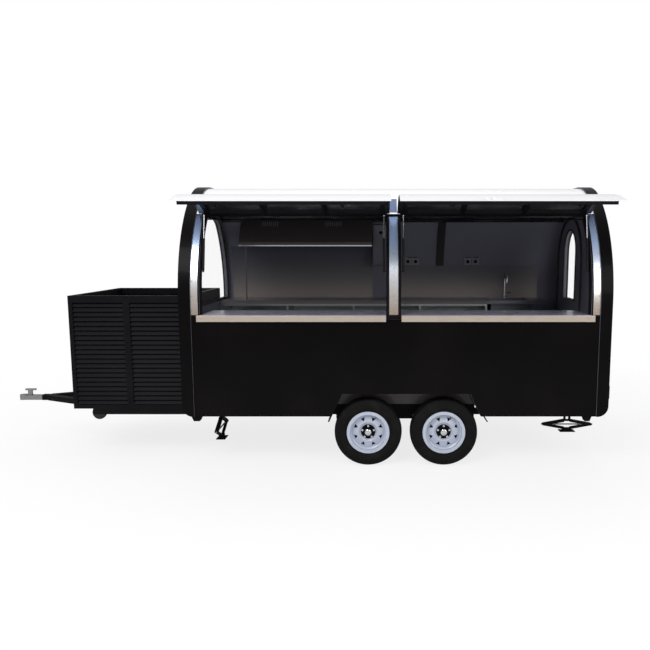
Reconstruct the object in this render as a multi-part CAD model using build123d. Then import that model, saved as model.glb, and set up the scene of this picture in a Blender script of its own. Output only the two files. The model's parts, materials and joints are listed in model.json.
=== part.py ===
from build123d import *
from math import asin, cos, pi, radians, sin, sqrt, tan
import os

# A food cart: a tandem-axle catering trailer with an arched body between flat ends, two lift-up
# serving hatches, a louvred open-topped front box and an A-frame drawbar. Millimetres.
# X runs along the length with the drawbar towards -X, Y across with the serving side at -Y, Z up.
# The pieces are drawn about the middle of the body and moved at the end, so that the origin is on
# the ground under the middle of the whole cart.

GROUND_Z = -22.0          # the ground, below the level that heights are drawn from

# Body
BODY_LENGTH = 4000.0
BODY_WIDTH = 2000.0
BODY_LOW = 470.0          # lower edge of the skirts
ROOF_TOP = 2648.0
SHOULDER_LOW = 1550.0     # the walls stand straight up to here
SHOULDER_R = 1170.0       # then curve in on this radius
ROOF_R = 750.0            # and on this one into the flat middle of the roof
WALL = 45.0               # sandwich wall thickness
HEEL_R = 100.0            # rounded lower corners of the ends
FLOOR_LOW = 560.0
FLOOR_T = 60.0
SILL_BEAM = 65.0          # beam inside the foot of each end wall
HOOP_W = 110.0            # raised hoop round each end of the body
HOOP_PROUD = 15.0
SEAT = 0.3                # running gap where curved faces would touch

# Serving side
COUNTER_Z = 1430.0        # top of the serving counters
OPENING_HALF = 1800.0     # half the width of the serving opening
HATCH_HALF = 1860.0       # the hatches' skins lap over the ends of the opening
HATCH_LOW = 1436.0
HATCH_PROUD = 10.0        # the skins' outer face stands this far off the wall
HATCH_SKIN = 7.0
HATCH_T = 27.0            # the hatch frames' inner face, from the wall's outer face
HATCH_OPEN = 74.0         # degrees from shut to the open place
HATCH_GAP = 72.0          # between the two hatches
POST_X = -16.0            # middle post
POST_W = 138.0
HINGE_Z = 2360.0          # height on the outer skin where the hatches are hinged
HINGE_PROUD = 8.0         # hinge pin stands this far off the wall
HINGE_EDGE = 12.0         # from the pin to the hatch's upper edge
ROOF_EDGE = 7.0           # from the pin to the roof's edge
CUT_MARGIN = 12.0         # round the opening in the wall, for the jambs
FRAME_FACE = 20.0         # the black window frame is set back this far from the skin
FRAME_DEPTH = 55.0
HEADER_Z = 2310.0
HEADER_FACE = 47.0

# Running gear
TYRE_R = 323.0
AXLE_Z = GROUND_Z + TYRE_R
TYRE_W = 195.0
RIM_SEAT_R = 178.0
AXLE_SPACING = 722.0
TANDEM_X = 104.0
TYRE_OUT = 30.0           # tyre's outer face inside the body side
RAIL_OUT = 677.0          # outer face of the main rails
RAIL_W = 60.0
RAIL_LOW = 413.0
RAIL_TOP = BODY_LOW

# Front box and drawbar
BOX_FRONT = -3168.0
BOX_HALF = 677.0
BOX_TOP = 1586.0
COUPLER_TIP = -4050.0
COUPLER_Z = 440.0
APEX_X = -3773.0


def block(x0, x1, y0, y1, z0, z1):
    return Pos((x0 + x1) / 2, (y0 + y1) / 2, (z0 + z1) / 2) * Box(x1 - x0, y1 - y0, z1 - z0)


def rod_x(x0, x1, y, z, radius):
    return Pos((x0 + x1) / 2, y, z) * Rot(0, 90, 0) * Cylinder(radius, x1 - x0)


def rod_y(y0, y1, x, z, radius):
    return Pos(x, (y0 + y1) / 2, z) * Rot(90, 0, 0) * Cylinder(radius, y1 - y0)


def rod_z(z0, z1, x, y, radius):
    return Pos(x, y, (z0 + z1) / 2) * Cylinder(radius, z1 - z0)


def polygon(points):
    return make_face(Polyline(*points, close=True))


def prism_x(sketch, x0, x1):
    """A (y, z) outline carried from x0 to x1."""
    return extrude(Plane.YZ.offset(x0) * sketch, x1 - x0)


def prism_y(sketch, y0, y1):
    """An (x, z) outline carried from y0 to y1."""
    return extrude(Plane.XZ.offset(-y1) * sketch, y1 - y0)


def prism_z(sketch, z0, z1):
    """An (x, y) outline carried from z0 to z1."""
    return extrude(Plane.XY.offset(z0) * sketch, z1 - z0)


def bar(start, end, width, height):
    """A straight bar between two points, width level across it."""
    start, end = Vector(*start), Vector(*end)
    run = end - start
    level = Vector(0, 0, 1).cross(run)
    if level.length < 1e-6:
        level = Vector(1, 0, 0)
    plane = Plane(origin=start, x_dir=level, z_dir=run)
    return extrude(plane * Rectangle(width, height), run.length)


def both_sides(shape):
    """The piece and its mirror image on the other side of the cart."""
    return [shape, mirror(shape, about=Plane.XZ)]


class Arch:
    """A wall that stands straight, curves in on a large radius and turns into a flat top.

    Drawn about the middle: h is the distance from the middle, z the height, and an angle is the
    one at which the face looks out, from level. A piece set in from the outside keeps the same
    centres with smaller radii.
    """

    def __init__(self, half, low, spring, shoulder, corner, top):
        self.half, self.low, self.spring = half, low, spring
        self.shoulder, self.corner, self.top = shoulder, corner, top
        self.turn = asin((top - corner - spring) / (shoulder - corner))
        self.lean_h = half - shoulder
        self.corner_h = self.lean_h + (shoulder - corner) * cos(self.turn)
        self.corner_z = top - corner

    def point(self, inset, angle):
        """The point of the curve that looks out at an angle."""
        if angle <= self.turn:
            reach = self.shoulder - inset
            return (self.lean_h + reach * cos(angle), self.spring + reach * sin(angle))
        reach = self.corner - inset
        return (self.corner_h + reach * cos(angle), self.corner_z + reach * sin(angle))

    def shoulder_angle(self, z):
        """The angle at a height on the outside of the shoulder."""
        return asin((z - self.spring) / self.shoulder)

    def side(self, inset, low, end_angle):
        """The edges from the foot up to an angle on the curve."""
        foot = (self.half - inset, low)
        knee = (self.half - inset, self.spring)
        first_end = min(end_angle, self.turn)
        edges = [Line(foot, knee),
                 ThreePointArc(knee, self.point(inset, first_end / 2), self.point(inset, first_end))]
        if end_angle > self.turn:
            middle = (self.turn + end_angle) / 2
            edges.append(ThreePointArc(self.point(inset, self.turn), self.point(inset, middle),
                                       self.point(inset, end_angle)))
        return edges

    def outline(self, inset=0.0, low=None):
        """The whole arch as a face."""
        low = self.low if low is None else low
        right = self.side(inset, low, pi / 2)
        left = [edge.mirror(Plane.YZ) for edge in right]
        top = Line((self.corner_h, self.top - inset), (-self.corner_h, self.top - inset))
        foot = Line((self.half - inset, low), (inset - self.half, low))
        return make_face(right + left + [top, foot])

    def band(self, outer, inner, low, end_angle):
        """A wall's section on the +h side, from a height up to an angle on the curve."""
        out = self.side(outer, low, end_angle)
        back = self.side(inner, low, end_angle)
        foot = Line((self.half - outer, low), (self.half - inner, low))
        head = Line(self.point(outer, end_angle), self.point(inner, end_angle))
        return make_face(out + back + [foot, head])

    def crown(self, angle):
        """The wedge above the radial cuts at an angle on both shoulders."""
        far = 3 * self.shoulder
        tip = (self.lean_h + far * cos(angle), self.spring + far * sin(angle))
        return polygon([(0, self.spring - self.lean_h * tan(angle)), tip, (-tip[0], tip[1])])


width_arch = Arch(BODY_WIDTH / 2, BODY_LOW, SHOULDER_LOW, SHOULDER_R, ROOF_R, ROOF_TOP)

HINGE_ANGLE = width_arch.shoulder_angle(HINGE_Z)
ROOF_CUT = HINGE_ANGLE + ROOF_EDGE / SHOULDER_R
HATCH_CUT = HINGE_ANGLE - HINGE_EDGE / SHOULDER_R
hinge_h, hinge_z = width_arch.point(-HINGE_PROUD, HINGE_ANGLE)
HINGE_Y = -hinge_h
FAR = 3 * BODY_WIDTH

nodes = {}


def keep(name, shape):
    nodes[name] = shape if isinstance(shape, list) else [shape]


# Body shell: flat arched ends, with the side walls and the roof between them
half_length = BODY_LENGTH / 2
inner_end = half_length - WALL
inner_side = BODY_WIDTH / 2 - WALL
side_view = polygon([(-half_length, BODY_LOW), (half_length, BODY_LOW),
                     (half_length, FAR), (-half_length, FAR)])
side_view = fillet(side_view.vertices().sort_by(Axis.Y)[0:2], HEEL_R)
side_prism = prism_y(side_view, -FAR, FAR)

end_wall = prism_x(width_arch.outline(), inner_end, half_length)
end_wall += block(inner_end - SILL_BEAM, inner_end, -inner_side, inner_side, BODY_LOW, FLOOR_LOW)
end_wall = end_wall & side_prism

side_wall = prism_x(width_arch.band(0, WALL, BODY_LOW, ROOF_CUT), -inner_end, inner_end) & side_prism

roof = prism_x(width_arch.outline() - width_arch.outline(WALL), -inner_end, inner_end)
keep("roof", roof & prism_x(width_arch.crown(ROOF_CUT), -FAR, FAR))

hoop = prism_x(width_arch.outline(-HOOP_PROUD) - width_arch.outline(), half_length - HOOP_W, half_length)
hoop = hoop & side_prism
keep("end_hoops", [mirror(hoop, about=Plane.YZ), hoop])

# Wheel arches: trapezoid cut in both sides, lined by a steel box
ARCH_TOP = 687.0
ARCH_HALF_TOP = 604.0
ARCH_HALF_LOW = 702.0
LINER = 3.0
LINER_IN = 690.0          # inner wall of the wheel box
arch_slope = (ARCH_HALF_LOW - ARCH_HALF_TOP) / (ARCH_TOP - BODY_LOW)


def arch_outline(grow=0.0, low=BODY_LOW):
    top = ARCH_TOP + grow
    half_low = ARCH_HALF_TOP + grow + arch_slope * (top - low)
    return polygon([(TANDEM_X - half_low, low), (TANDEM_X + half_low, low),
                    (TANDEM_X + ARCH_HALF_TOP + grow, top), (TANDEM_X - ARCH_HALF_TOP - grow, top)])


side_wall -= prism_y(arch_outline(low=BODY_LOW - 50), inner_side - 5, BODY_WIDTH / 2 + 5)
keep("off_wall", side_wall)

liner_low = FLOOR_LOW - 40
liner = prism_y(arch_outline(LINER, liner_low), LINER_IN, inner_side)
liner -= prism_y(arch_outline(0, liner_low - 5), LINER_IN + LINER, inner_side + 5)
keep("wheel_boxes", both_sides(liner))

# Floor
floor = block(-inner_end, inner_end, -inner_side, inner_side, FLOOR_LOW, FLOOR_LOW + FLOOR_T)
for side in (-1, 1):
    notch = prism_y(arch_outline(LINER, FLOOR_LOW - 20), LINER_IN, inner_side + 5)
    floor -= notch if side > 0 else mirror(notch, about=Plane.XZ)
keep("floor", floor)


# Serving opening
def side_field(half, x_low=-FAR, x_high=FAR, z_low=BODY_LOW, z_high=FAR):
    """A field seen from the serving side: a half width about the middle, within a window."""
    low, high = max(-half, x_low), min(half, x_high)
    return polygon([(low, z_low), (high, z_low), (high, z_high), (low, z_high)])


def serving_band(outer, inner, low, end_angle):
    """A curved layer of the serving side between two depths, over the whole length."""
    layer = prism_x(width_arch.band(outer, inner, low, end_angle), -BODY_LENGTH / 2, BODY_LENGTH / 2)
    return mirror(layer, about=Plane.XZ)


COUNTER_T = 40.0
COUNTER_LIP = 62.0
wall_sill = COUNTER_Z - COUNTER_T
serving_wall = mirror(side_wall, about=Plane.XZ)
for half, z_low in ((OPENING_HALF, wall_sill), (OPENING_HALF + CUT_MARGIN, COUNTER_Z)):
    serving_wall -= prism_y(side_field(half, z_low=z_low), -BODY_WIDTH / 2 - 50, -BODY_WIDTH / 8)
keep("serving_wall", serving_wall)

# Black window frame behind the hatches: two jambs, the middle post and the header
frame_in = FRAME_FACE + FRAME_DEPTH
post_low, post_high = POST_X - POST_W / 2, POST_X + POST_W / 2
frame_half = OPENING_HALF + CUT_MARGIN - SEAT
uprights = side_field(frame_half, z_low=COUNTER_Z) - side_field(OPENING_HALF, z_low=COUNTER_Z - 50)
uprights += side_field(frame_half, post_low, post_high, wall_sill)
window_frame = serving_band(FRAME_FACE, frame_in, wall_sill, ROOF_CUT) & prism_y(uprights, -FAR, 0)
header = serving_band(HEADER_FACE, frame_in, COUNTER_Z, HATCH_CUT)
window_frame += header & prism_y(side_field(frame_half, z_low=HEADER_Z), -FAR, 0)

# Stainless strips beside the hatches and down the middle post
STRIP_T = 2.0
STRIP_W = 66.0
STRIP_OFF = 24.0
POST_STRIP_W = 82.0
end_layer = serving_band(-STRIP_T, 0, COUNTER_Z, HATCH_CUT)
strip_in = OPENING_HALF + STRIP_OFF
strips = [end_layer & prism_y(side_field(strip_in + STRIP_W, *span), -FAR, 0)
          for span in ((-FAR, -strip_in), (strip_in, FAR))]
post_layer = serving_band(FRAME_FACE - STRIP_T, FRAME_FACE, COUNTER_Z, HATCH_CUT)
post_strip = side_field(FAR, POST_X - POST_STRIP_W / 2, POST_X + POST_STRIP_W / 2)
strips.append(post_layer & prism_y(post_strip, -FAR, 0))
keep("steel_strips", strips)

# Serving counters: a stainless top through the opening, and a lip in front of the wall
COUNTER_OUT = 30.0
COUNTER_IN = 500.0
LIP_DROP = 2.0            # the lip's top is this far under the counter's
counters = []
for x_low, x_high in ((-1835.0, post_low - 3), (post_high + 3, 1838.0)):
    hole_low = max(x_low, SEAT - OPENING_HALF)
    hole_high = min(x_high, OPENING_HALF - SEAT)
    top = block(hole_low, hole_high, -BODY_WIDTH / 2 - 5, -COUNTER_IN, wall_sill, COUNTER_Z)
    lip = block(x_low, x_high, -BODY_WIDTH / 2 - COUNTER_OUT, -BODY_WIDTH / 2, COUNTER_Z - COUNTER_LIP,
                COUNTER_Z - LIP_DROP)
    lip = fillet(lip.edges().filter_by(Axis.X).group_by(Axis.Y)[0], 5)
    counters.append(top + lip)
keep("serving_counters", counters)

# Hatches, drawn shut and then swung open about the hinge pin
HATCH_BAR = 45.0
POST_FIT = 8.5            # from the middle post to a hatch frame
HINGE_R = 7.0
HINGE_PIN_R = 3.0
KNUCKLE = 80.0
LEAF_T = 3.0
LEAF_REACH = 60.0
HINGE_SHARES = (0.08, 0.36, 0.64, 0.92)
pin_axis = Axis((0, HINGE_Y, hinge_z), (1, 0, 0))


def swung(shape):
    return shape.rotate(pin_axis, -HATCH_OPEN)


def arc_angle(length):
    """How far a length on the outside of the shoulder turns."""
    return length / SHOULDER_R


# the skin's ends, the frame's ends
hatch_spans = {"left": ((-HATCH_HALF, POST_X - HATCH_GAP / 2), (8 - OPENING_HALF, post_low - POST_FIT)),
               "right": ((POST_X + HATCH_GAP / 2, HATCH_HALF), (post_high + POST_FIT, OPENING_HALF - 8))}
hinge_knuckles = []
hatch_frames = {}
for name, (skin_span, frame_span) in hatch_spans.items():
    skin = serving_band(-HATCH_PROUD, HATCH_SKIN - HATCH_PROUD, HATCH_LOW, HATCH_CUT)
    keep(f"hatch_{name}_skin", swung(skin & block(*skin_span, -FAR, 0, 0, FAR)))

    left, right = frame_span
    ring = side_field(FAR, left, right, HATCH_LOW + 3)
    ring -= side_field(FAR, left + HATCH_BAR, right - HATCH_BAR, HATCH_LOW + HATCH_BAR, HINGE_Z - 70)
    for share in (1 / 3, 2 / 3):
        middle = left + share * (right - left)
        ring += side_field(FAR, middle - 20, middle + 20, HATCH_LOW + 30, HINGE_Z - 30)
    frame_layer = serving_band(HATCH_SKIN - HATCH_PROUD, HATCH_T, HATCH_LOW, HATCH_CUT)
    hatch_frames[name] = [frame_layer & prism_y(ring, -FAR, 0)]

    # each hinge: a knuckle on the hatch between two on the roof, on one pin
    for share in HINGE_SHARES:
        x = skin_span[0] + share * (skin_span[1] - skin_span[0])
        leaf = serving_band(-HATCH_PROUD - LEAF_T, -HATCH_PROUD, HATCH_LOW, HINGE_ANGLE - arc_angle(4))
        leaf = leaf & block(x - KNUCKLE / 2, x + KNUCKLE / 2, -FAR, 0, HINGE_Z - LEAF_REACH, FAR)
        barrel = rod_x(x - KNUCKLE / 2, x + KNUCKLE / 2, HINGE_Y, hinge_z, HINGE_R)
        barrel -= rod_x(x - KNUCKLE, x + KNUCKLE, HINGE_Y, hinge_z, HINGE_PIN_R + 0.1)
        hatch_frames[name].append(leaf + barrel)
        for step in (-1, 1):
            spot = x + step * (KNUCKLE + 1)
            near, far_end = spot - KNUCKLE / 2, spot + KNUCKLE / 2
            strap = width_arch.band(-LEAF_T, 0, HATCH_LOW, HINGE_ANGLE + arc_angle(LEAF_REACH))
            strap -= width_arch.band(-20, 20, HATCH_LOW - 50, HINGE_ANGLE + arc_angle(ROOF_EDGE / 2))
            strap = mirror(prism_x(strap, near, far_end), about=Plane.XZ)
            hinge_knuckles.append(rod_x(near, far_end, HINGE_Y, hinge_z, HINGE_R) + strap)
        pin_half = KNUCKLE / 2 + 0.5
        hinge_knuckles.append(rod_x(x - pin_half, x + pin_half, HINGE_Y, hinge_z, HINGE_PIN_R))


# Gas struts: a cylinder on the window frame and a rod to a bracket on the hatch, two for each hatch
STRUT_FOOT = (-915.0, 1830.0)
STRUT_IN = 65.0           # the rod eye's depth behind the hatch's skin
STRUT_LEAN = radians(38.4)
STRUT_OFF = 22.0          # from the middle post to a strut's middle
CYLINDER_R = 11.0
CYLINDER_LEN = 300.0
ROD_R = 5.0
STRUT_EYE_R = 9.0
STRUT_EYE_HALF = 5.0
STRUT_PIN_R = 4.0
STRUT_FIT = 0.08
LUG_T = 4.0
LUG_HALF = 12.0
strut_eye = width_arch.point(STRUT_IN, STRUT_LEAN)
eye_shut = Vector(0, -strut_eye[0], strut_eye[1])
pin_point = Vector(0, HINGE_Y, hinge_z)
eye_open = pin_point + (eye_shut - pin_point).rotate(Axis.X, -HATCH_OPEN)
foot_point = Vector(0, *STRUT_FOOT)
strut_line = (eye_open - foot_point).normalized()
strut_long = (eye_open - foot_point).length
strut_short = (eye_shut - foot_point).length
BORE_FOOT = STRUT_EYE_R + 20
ROD_FOOT = BORE_FOOT + strut_long - strut_short + 5


def along(x, reach_low, reach_high, radius):
    """A round bar on the strut's line, at a place along the cart's length."""
    origin = Vector(x, foot_point.Y, foot_point.Z) + strut_line * reach_low
    plane = Plane(origin=origin, x_dir=(1, 0, 0), z_dir=strut_line)
    return extrude(plane * Circle(radius), reach_high - reach_low)


end_strut_x = OPENING_HALF - CYLINDER_R - 6
# the upright's face, the strut's place, the way from the upright into the opening
strut_places = {"left": ((-OPENING_HALF, -end_strut_x, 1), (post_low, post_low - STRUT_OFF, -1)),
                "right": ((post_high, post_high + STRUT_OFF, 1), (OPENING_HALF, end_strut_x, -1))}
for name, places in strut_places.items():
    cylinders, rods = [], []
    for upright_x, x, inward in places:
        pin_ends = sorted((upright_x - inward * 6, x + inward * 8))
        window_frame += rod_x(*pin_ends, *STRUT_FOOT, STRUT_PIN_R)
        cylinder = rod_x(x - 6, x + 6, *STRUT_FOOT, STRUT_EYE_R)
        body = along(x, STRUT_EYE_R - 3, STRUT_EYE_R + CYLINDER_LEN, CYLINDER_R)
        body -= rod_x(x - 20, x + 20, *STRUT_FOOT, STRUT_EYE_R + 1)
        cylinder += body + along(x, STRUT_EYE_R - 3, STRUT_EYE_R + 12, ROD_R)
        cylinder -= rod_x(x - 20, x + 20, *STRUT_FOOT, STRUT_PIN_R + STRUT_FIT)
        cylinder -= along(x, BORE_FOOT, strut_long, ROD_R + STRUT_FIT)
        cylinders.append(cylinder)
        rod = along(x, ROD_FOOT, strut_long - STRUT_EYE_R + 2, ROD_R)
        rods.append(rod + rod_x(x - STRUT_EYE_HALF, x + STRUT_EYE_HALF, eye_open.Y, eye_open.Z, STRUT_EYE_R))
        # an angle bracket on the hatch frame, its lug beside the rod's eye
        lug_near = x + inward * (STRUT_EYE_HALF + SEAT)
        eye_z = strut_eye[1]
        lug_layer = serving_band(HATCH_T, STRUT_IN + 10, HATCH_LOW, HATCH_CUT)
        foot_layer = serving_band(HATCH_T, HATCH_T + LUG_T, HATCH_LOW, HATCH_CUT)
        lug = lug_layer & block(*sorted((lug_near, lug_near + inward * LUG_T)), -FAR, 0,
                                eye_z - LUG_HALF, eye_z + LUG_HALF)
        lug += foot_layer & block(*sorted((lug_near, lug_near + inward * 45)), -FAR, 0,
                                  eye_z - LUG_HALF, eye_z + LUG_HALF)
        hatch_frames[name][0] += lug
    keep(f"strut_{name}_cylinders", cylinders)
    keep(f"strut_{name}_rods", rods)
    keep(f"hatch_{name}_frame", [swung(piece) for piece in hatch_frames[name]])
keep("window_frame", window_frame)

# End walls: a long arched window at the front, the entry door at the rear
GLASS_T = 5.0
GLASS_IN = 20.0
glass_out, glass_back = half_length - GLASS_IN, half_length - GLASS_IN - GLASS_T
front_window = Arch(890.0, 1465.0, SHOULDER_LOW, 1060.0, 300.0, 2365.0)
front_wall = mirror(end_wall, about=Plane.YZ)
keep("front_wall", front_wall - prism_x(front_window.outline(), -half_length - 50, -inner_end + 50))
front_glass = front_window.outline(SEAT, front_window.low + SEAT)
keep("front_window_glass", prism_x(front_glass, -glass_out, -glass_back))

DOOR_Y = 342.0
DOOR_W = 874.0
DOOR_GAP = 10.0
DOOR_LOW = 632.0
DOOR_TOP = 2348.0
DOOR_GLASS_W = 480.0
DOOR_GLASS_LOW = 1480.0
DOOR_GLASS_TOP = 2240.0


def round_headed(width, low, top):
    """An upright opening with a half-round head, about the door's middle."""
    half = width / 2
    spring = top - half
    return make_face([Line((DOOR_Y - half, low), (DOOR_Y + half, low)),
                      Line((DOOR_Y + half, low), (DOOR_Y + half, spring)),
                      ThreePointArc((DOOR_Y + half, spring), (DOOR_Y, top), (DOOR_Y - half, spring)),
                      Line((DOOR_Y - half, spring), (DOOR_Y - half, low))])


door_hole = round_headed(DOOR_W + 2 * DOOR_GAP, DOOR_LOW - DOOR_GAP, DOOR_TOP + DOOR_GAP)
keep("rear_wall", end_wall - prism_x(door_hole, 0, FAR))
door = end_wall & prism_x(round_headed(DOOR_W, DOOR_LOW, DOOR_TOP), 0, FAR)
door -= prism_x(round_headed(DOOR_GLASS_W, DOOR_GLASS_LOW, DOOR_GLASS_TOP), 0, FAR)
glass_face = round_headed(DOOR_GLASS_W - 2 * SEAT, DOOR_GLASS_LOW + SEAT, DOOR_GLASS_TOP - SEAT)
door_glass = prism_x(glass_face, glass_back, glass_out)
DOOR_PIN_OUT = 9.0
DOOR_PIN_R = 4.0
DOOR_BARREL_R = 8.0
DOOR_PIN = (half_length + DOOR_PIN_OUT, DOOR_Y + DOOR_W / 2 + DOOR_GAP / 2)
DOOR_HINGES = (820.0, 1180.0, 1540.0)
DOOR_KNUCKLE = 40.0


def door_leaf(middle, side):
    """A hinge's barrel and its leaf: side -1 lies on the door, +1 on the wall."""
    low, high = middle - DOOR_KNUCKLE / 2, middle + DOOR_KNUCKLE / 2
    edges = [DOOR_PIN[1] + side * reach for reach in (5, 50, 12)]
    leaf = rod_z(low, high, *DOOR_PIN, DOOR_BARREL_R)
    leaf += block(half_length, half_length + 4, *sorted(edges[:2]), low, high)
    return leaf + block(half_length, half_length + DOOR_PIN_OUT, *sorted((edges[0], edges[2])), low, high)


door_fixed = []
for z in DOOR_HINGES:
    door += door_leaf(z, -1) - rod_z(z - 30, z + 30, *DOOR_PIN, DOOR_PIN_R + 0.1)
    pin = rod_z(z - DOOR_KNUCKLE / 2 - 0.5, z + DOOR_KNUCKLE / 2 + 0.5, *DOOR_PIN, DOOR_PIN_R)
    door_fixed.append(door_leaf(z - DOOR_KNUCKLE - 1, 1) + pin + door_leaf(z + DOOR_KNUCKLE + 1, 1))
keep("hinges", hinge_knuckles + door_fixed)
HANDLE_Y = DOOR_Y - DOOR_W / 2 + 70
handle = block(half_length, half_length + 10, HANDLE_Y - 22, HANDLE_Y + 22, 1180, 1330)
handle += block(half_length + 8, half_length + 40, HANDLE_Y - 8, HANDLE_Y + 8, 1292, 1312)
handle += block(half_length + 30, half_length + 42, HANDLE_Y - 12, HANDLE_Y + 100, 1290, 1314)
keep("door", door)
keep("door_glass", door_glass)
keep("door_handle", handle)

# Kitchen inside
FLOOR_TOP = FLOOR_LOW + FLOOR_T
CABINET_LOW = 720.0
PANEL = 20.0
BACK_COUNTER_Z = 1455.0
BACK_COUNTER_IN = 450.0
BACK_COUNTER_END = 1740.0


def cabinet(x_low, x_high, y_wall, y_front, z_low, z_high, dividers):
    """An open-fronted steel cabinet with uprights."""
    y_near, y_far = sorted((y_wall, y_front))
    shell = block(x_low, x_high, y_near, y_far, z_low, z_high)
    open_near = y_near + PANEL if y_front == y_far else y_near - 5
    open_far = y_far + 5 if y_front == y_far else y_far - PANEL
    bay = (x_high - x_low - PANEL) / dividers
    for index in range(dividers):
        start = x_low + PANEL + index * bay
        shell -= block(start, start + bay - PANEL, open_near, open_far, z_low + PANEL, z_high - PANEL)
    return shell


side_face = BODY_WIDTH / 2 - WALL
SPLASH_T = 3.0
sink = (1130.0, 1560.0, 560.0, 880.0)
SINK_UNIT_IN = 60.0       # from the bowl to the unit's left edge
BOWL_DEEP = 160.0
BOWL_T = 3.0
sink_unit_x = sink[0] - SINK_UNIT_IN
back_top_low = BACK_COUNTER_Z - COUNTER_T
bowl_low = BACK_COUNTER_Z - BOWL_DEEP
cabinet_front = BACK_COUNTER_IN + 10
# name, ends, wall side, front, height of its top, bays
cabinet_rows = (
    ("serving_cabinets", -1900, 1500, 1 - side_face, -COUNTER_IN, wall_sill, 4),
    ("back_cabinets", 1 - inner_end, sink_unit_x, side_face - 1, cabinet_front, back_top_low, 4),
    ("sink_cabinet", sink_unit_x + 1, BACK_COUNTER_END, side_face, cabinet_front, bowl_low - 10, 1))
for name, x_low, x_high, y_wall, y_front, z_high, bays in cabinet_rows:
    keep(name, cabinet(x_low, x_high, y_wall, y_front, CABINET_LOW, z_high, bays))
back_edge = side_face - SPLASH_T - SEAT
back_top = block(1 - inner_end, sink_unit_x, BACK_COUNTER_IN, back_edge, back_top_low, BACK_COUNTER_Z)
keep("back_counter", back_top)
sink_unit = block(sink_unit_x + 1, BACK_COUNTER_END, BACK_COUNTER_IN, back_edge, back_top_low, BACK_COUNTER_Z)
sink_unit -= block(*sink, back_top_low - 10, BACK_COUNTER_Z + 10)
bowl = block(*sink, bowl_low, BACK_COUNTER_Z)
bowl -= block(sink[0] + BOWL_T, sink[1] - BOWL_T, sink[2] + BOWL_T, sink[3] - BOWL_T,
              bowl_low + BOWL_T, BACK_COUNTER_Z + 5)
keep("sink_unit", sink_unit + bowl)
tap_x = (sink[0] + sink[1]) / 2
tap_y = sink[3] + 35
TAP_R = 11.0
TAP_RISE = 180.0
tap_top = BACK_COUNTER_Z + TAP_RISE
tap = rod_z(BACK_COUNTER_Z, tap_top, tap_x, tap_y, TAP_R) + rod_y(tap_y - 150, tap_y, tap_x, tap_top, TAP_R)
keep("tap", tap + rod_z(tap_top - 30, tap_top, tap_x, tap_y - 150, TAP_R))

HOOD_LOW = 2062.0
HOOD_FRONT = 410.0
HOOD_LIP = 45.0
HOOD_T = 20.0
HOOD_SPAN = (-1720.0, -236.0)
inside = prism_x(width_arch.outline(WALL + SEAT), -inner_end, inner_end)


def hood_section(inset):
    """Side outline of the hood: an upright lip, then a slope back to the wall."""
    front, lip = HOOD_FRONT + inset, HOOD_LOW + HOOD_LIP - inset / 4
    return polygon([(front, HOOD_LOW - inset), (front, lip), (front + 240, lip + 333), (1000, lip + 333),
                    (1000, HOOD_LOW - inset)])


hood = prism_x(hood_section(0), *HOOD_SPAN) & inside
hollow = prism_x(hood_section(HOOD_T), HOOD_SPAN[0] + HOOD_T, HOOD_SPAN[1] - HOOD_T)
hood -= hollow & prism_x(width_arch.outline(WALL + HOOD_T), -FAR, FAR)
keep("range_hood", hood)
splash_layer = prism_x(width_arch.band(WALL + SEAT, WALL + SPLASH_T, BODY_LOW, ROOF_CUT), -FAR, FAR)
splash = splash_layer & block(-1900, HOOD_SPAN[1], 0, FAR, back_top_low, HOOD_LOW - 1)
keep("splashbacks", [splash, splash_layer & block(20, BACK_COUNTER_END, 0, FAR, back_top_low, 1830)])
control_side = polygon([(760, 1850), (600, 2300), (1000, 2300), (1000, 1850)])
keep("electric_box", prism_x(control_side, -225, 15) & inside)
SOCKET_T = 14.0
SOCKET_HALF = 28.0
socket_layer = prism_x(width_arch.band(WALL + SEAT, WALL + SOCKET_T, BODY_LOW, ROOF_CUT), -FAR, FAR)
fittings = [socket_layer & block(x - SOCKET_HALF, x + SOCKET_HALF, 0, FAR, 1850, 1935)
            for x in (205, 270, 900, 985)]
fittings.append(socket_layer & block(520, 610, 0, FAR, 1835, 2380))
keep("wall_fittings", fittings)

# Chassis: two main rails, crossmembers on them, and the A-frame drawbar
RAIL_FRONT = -2980.0
RAIL_REAR = 1900.0
chassis = [block(RAIL_FRONT, RAIL_REAR, RAIL_OUT - RAIL_W, RAIL_OUT, RAIL_LOW, RAIL_TOP)]
chassis.append(mirror(chassis[0], about=Plane.XZ))
# place along the length, half width
crossmembers = ((-1850, 950), (-1350, 950), (-850, 950), (-250, 680), (450, 680),
                (960, 950), (1400, 950), (1840, 950))
CROSS_W = 50.0
for x, half in crossmembers:
    chassis.append(block(x - CROSS_W / 2, x + CROSS_W / 2, -half, half, RAIL_TOP, FLOOR_LOW))
for x in (RAIL_FRONT + CROSS_W / 2, -2020):
    chassis.append(block(x - CROSS_W / 2, x + CROSS_W / 2, RAIL_W - RAIL_OUT, RAIL_OUT - RAIL_W,
                         RAIL_LOW, RAIL_TOP))
# tapered brackets under the corners of the body
BRACKET_DROP = 58.0
for x_low, x_high in ((-1940, -1830), (1780, 1870)):
    foot_in = (x_high - x_low) / 4
    bracket = polygon([(x_low, BODY_LOW), (x_high, BODY_LOW), (x_high - foot_in, BODY_LOW - BRACKET_DROP),
                       (x_low + foot_in, BODY_LOW - BRACKET_DROP)])
    chassis += both_sides(prism_y(bracket, 880, 950))
frame = chassis[0]
for piece in chassis[1:]:
    frame += piece

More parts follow.
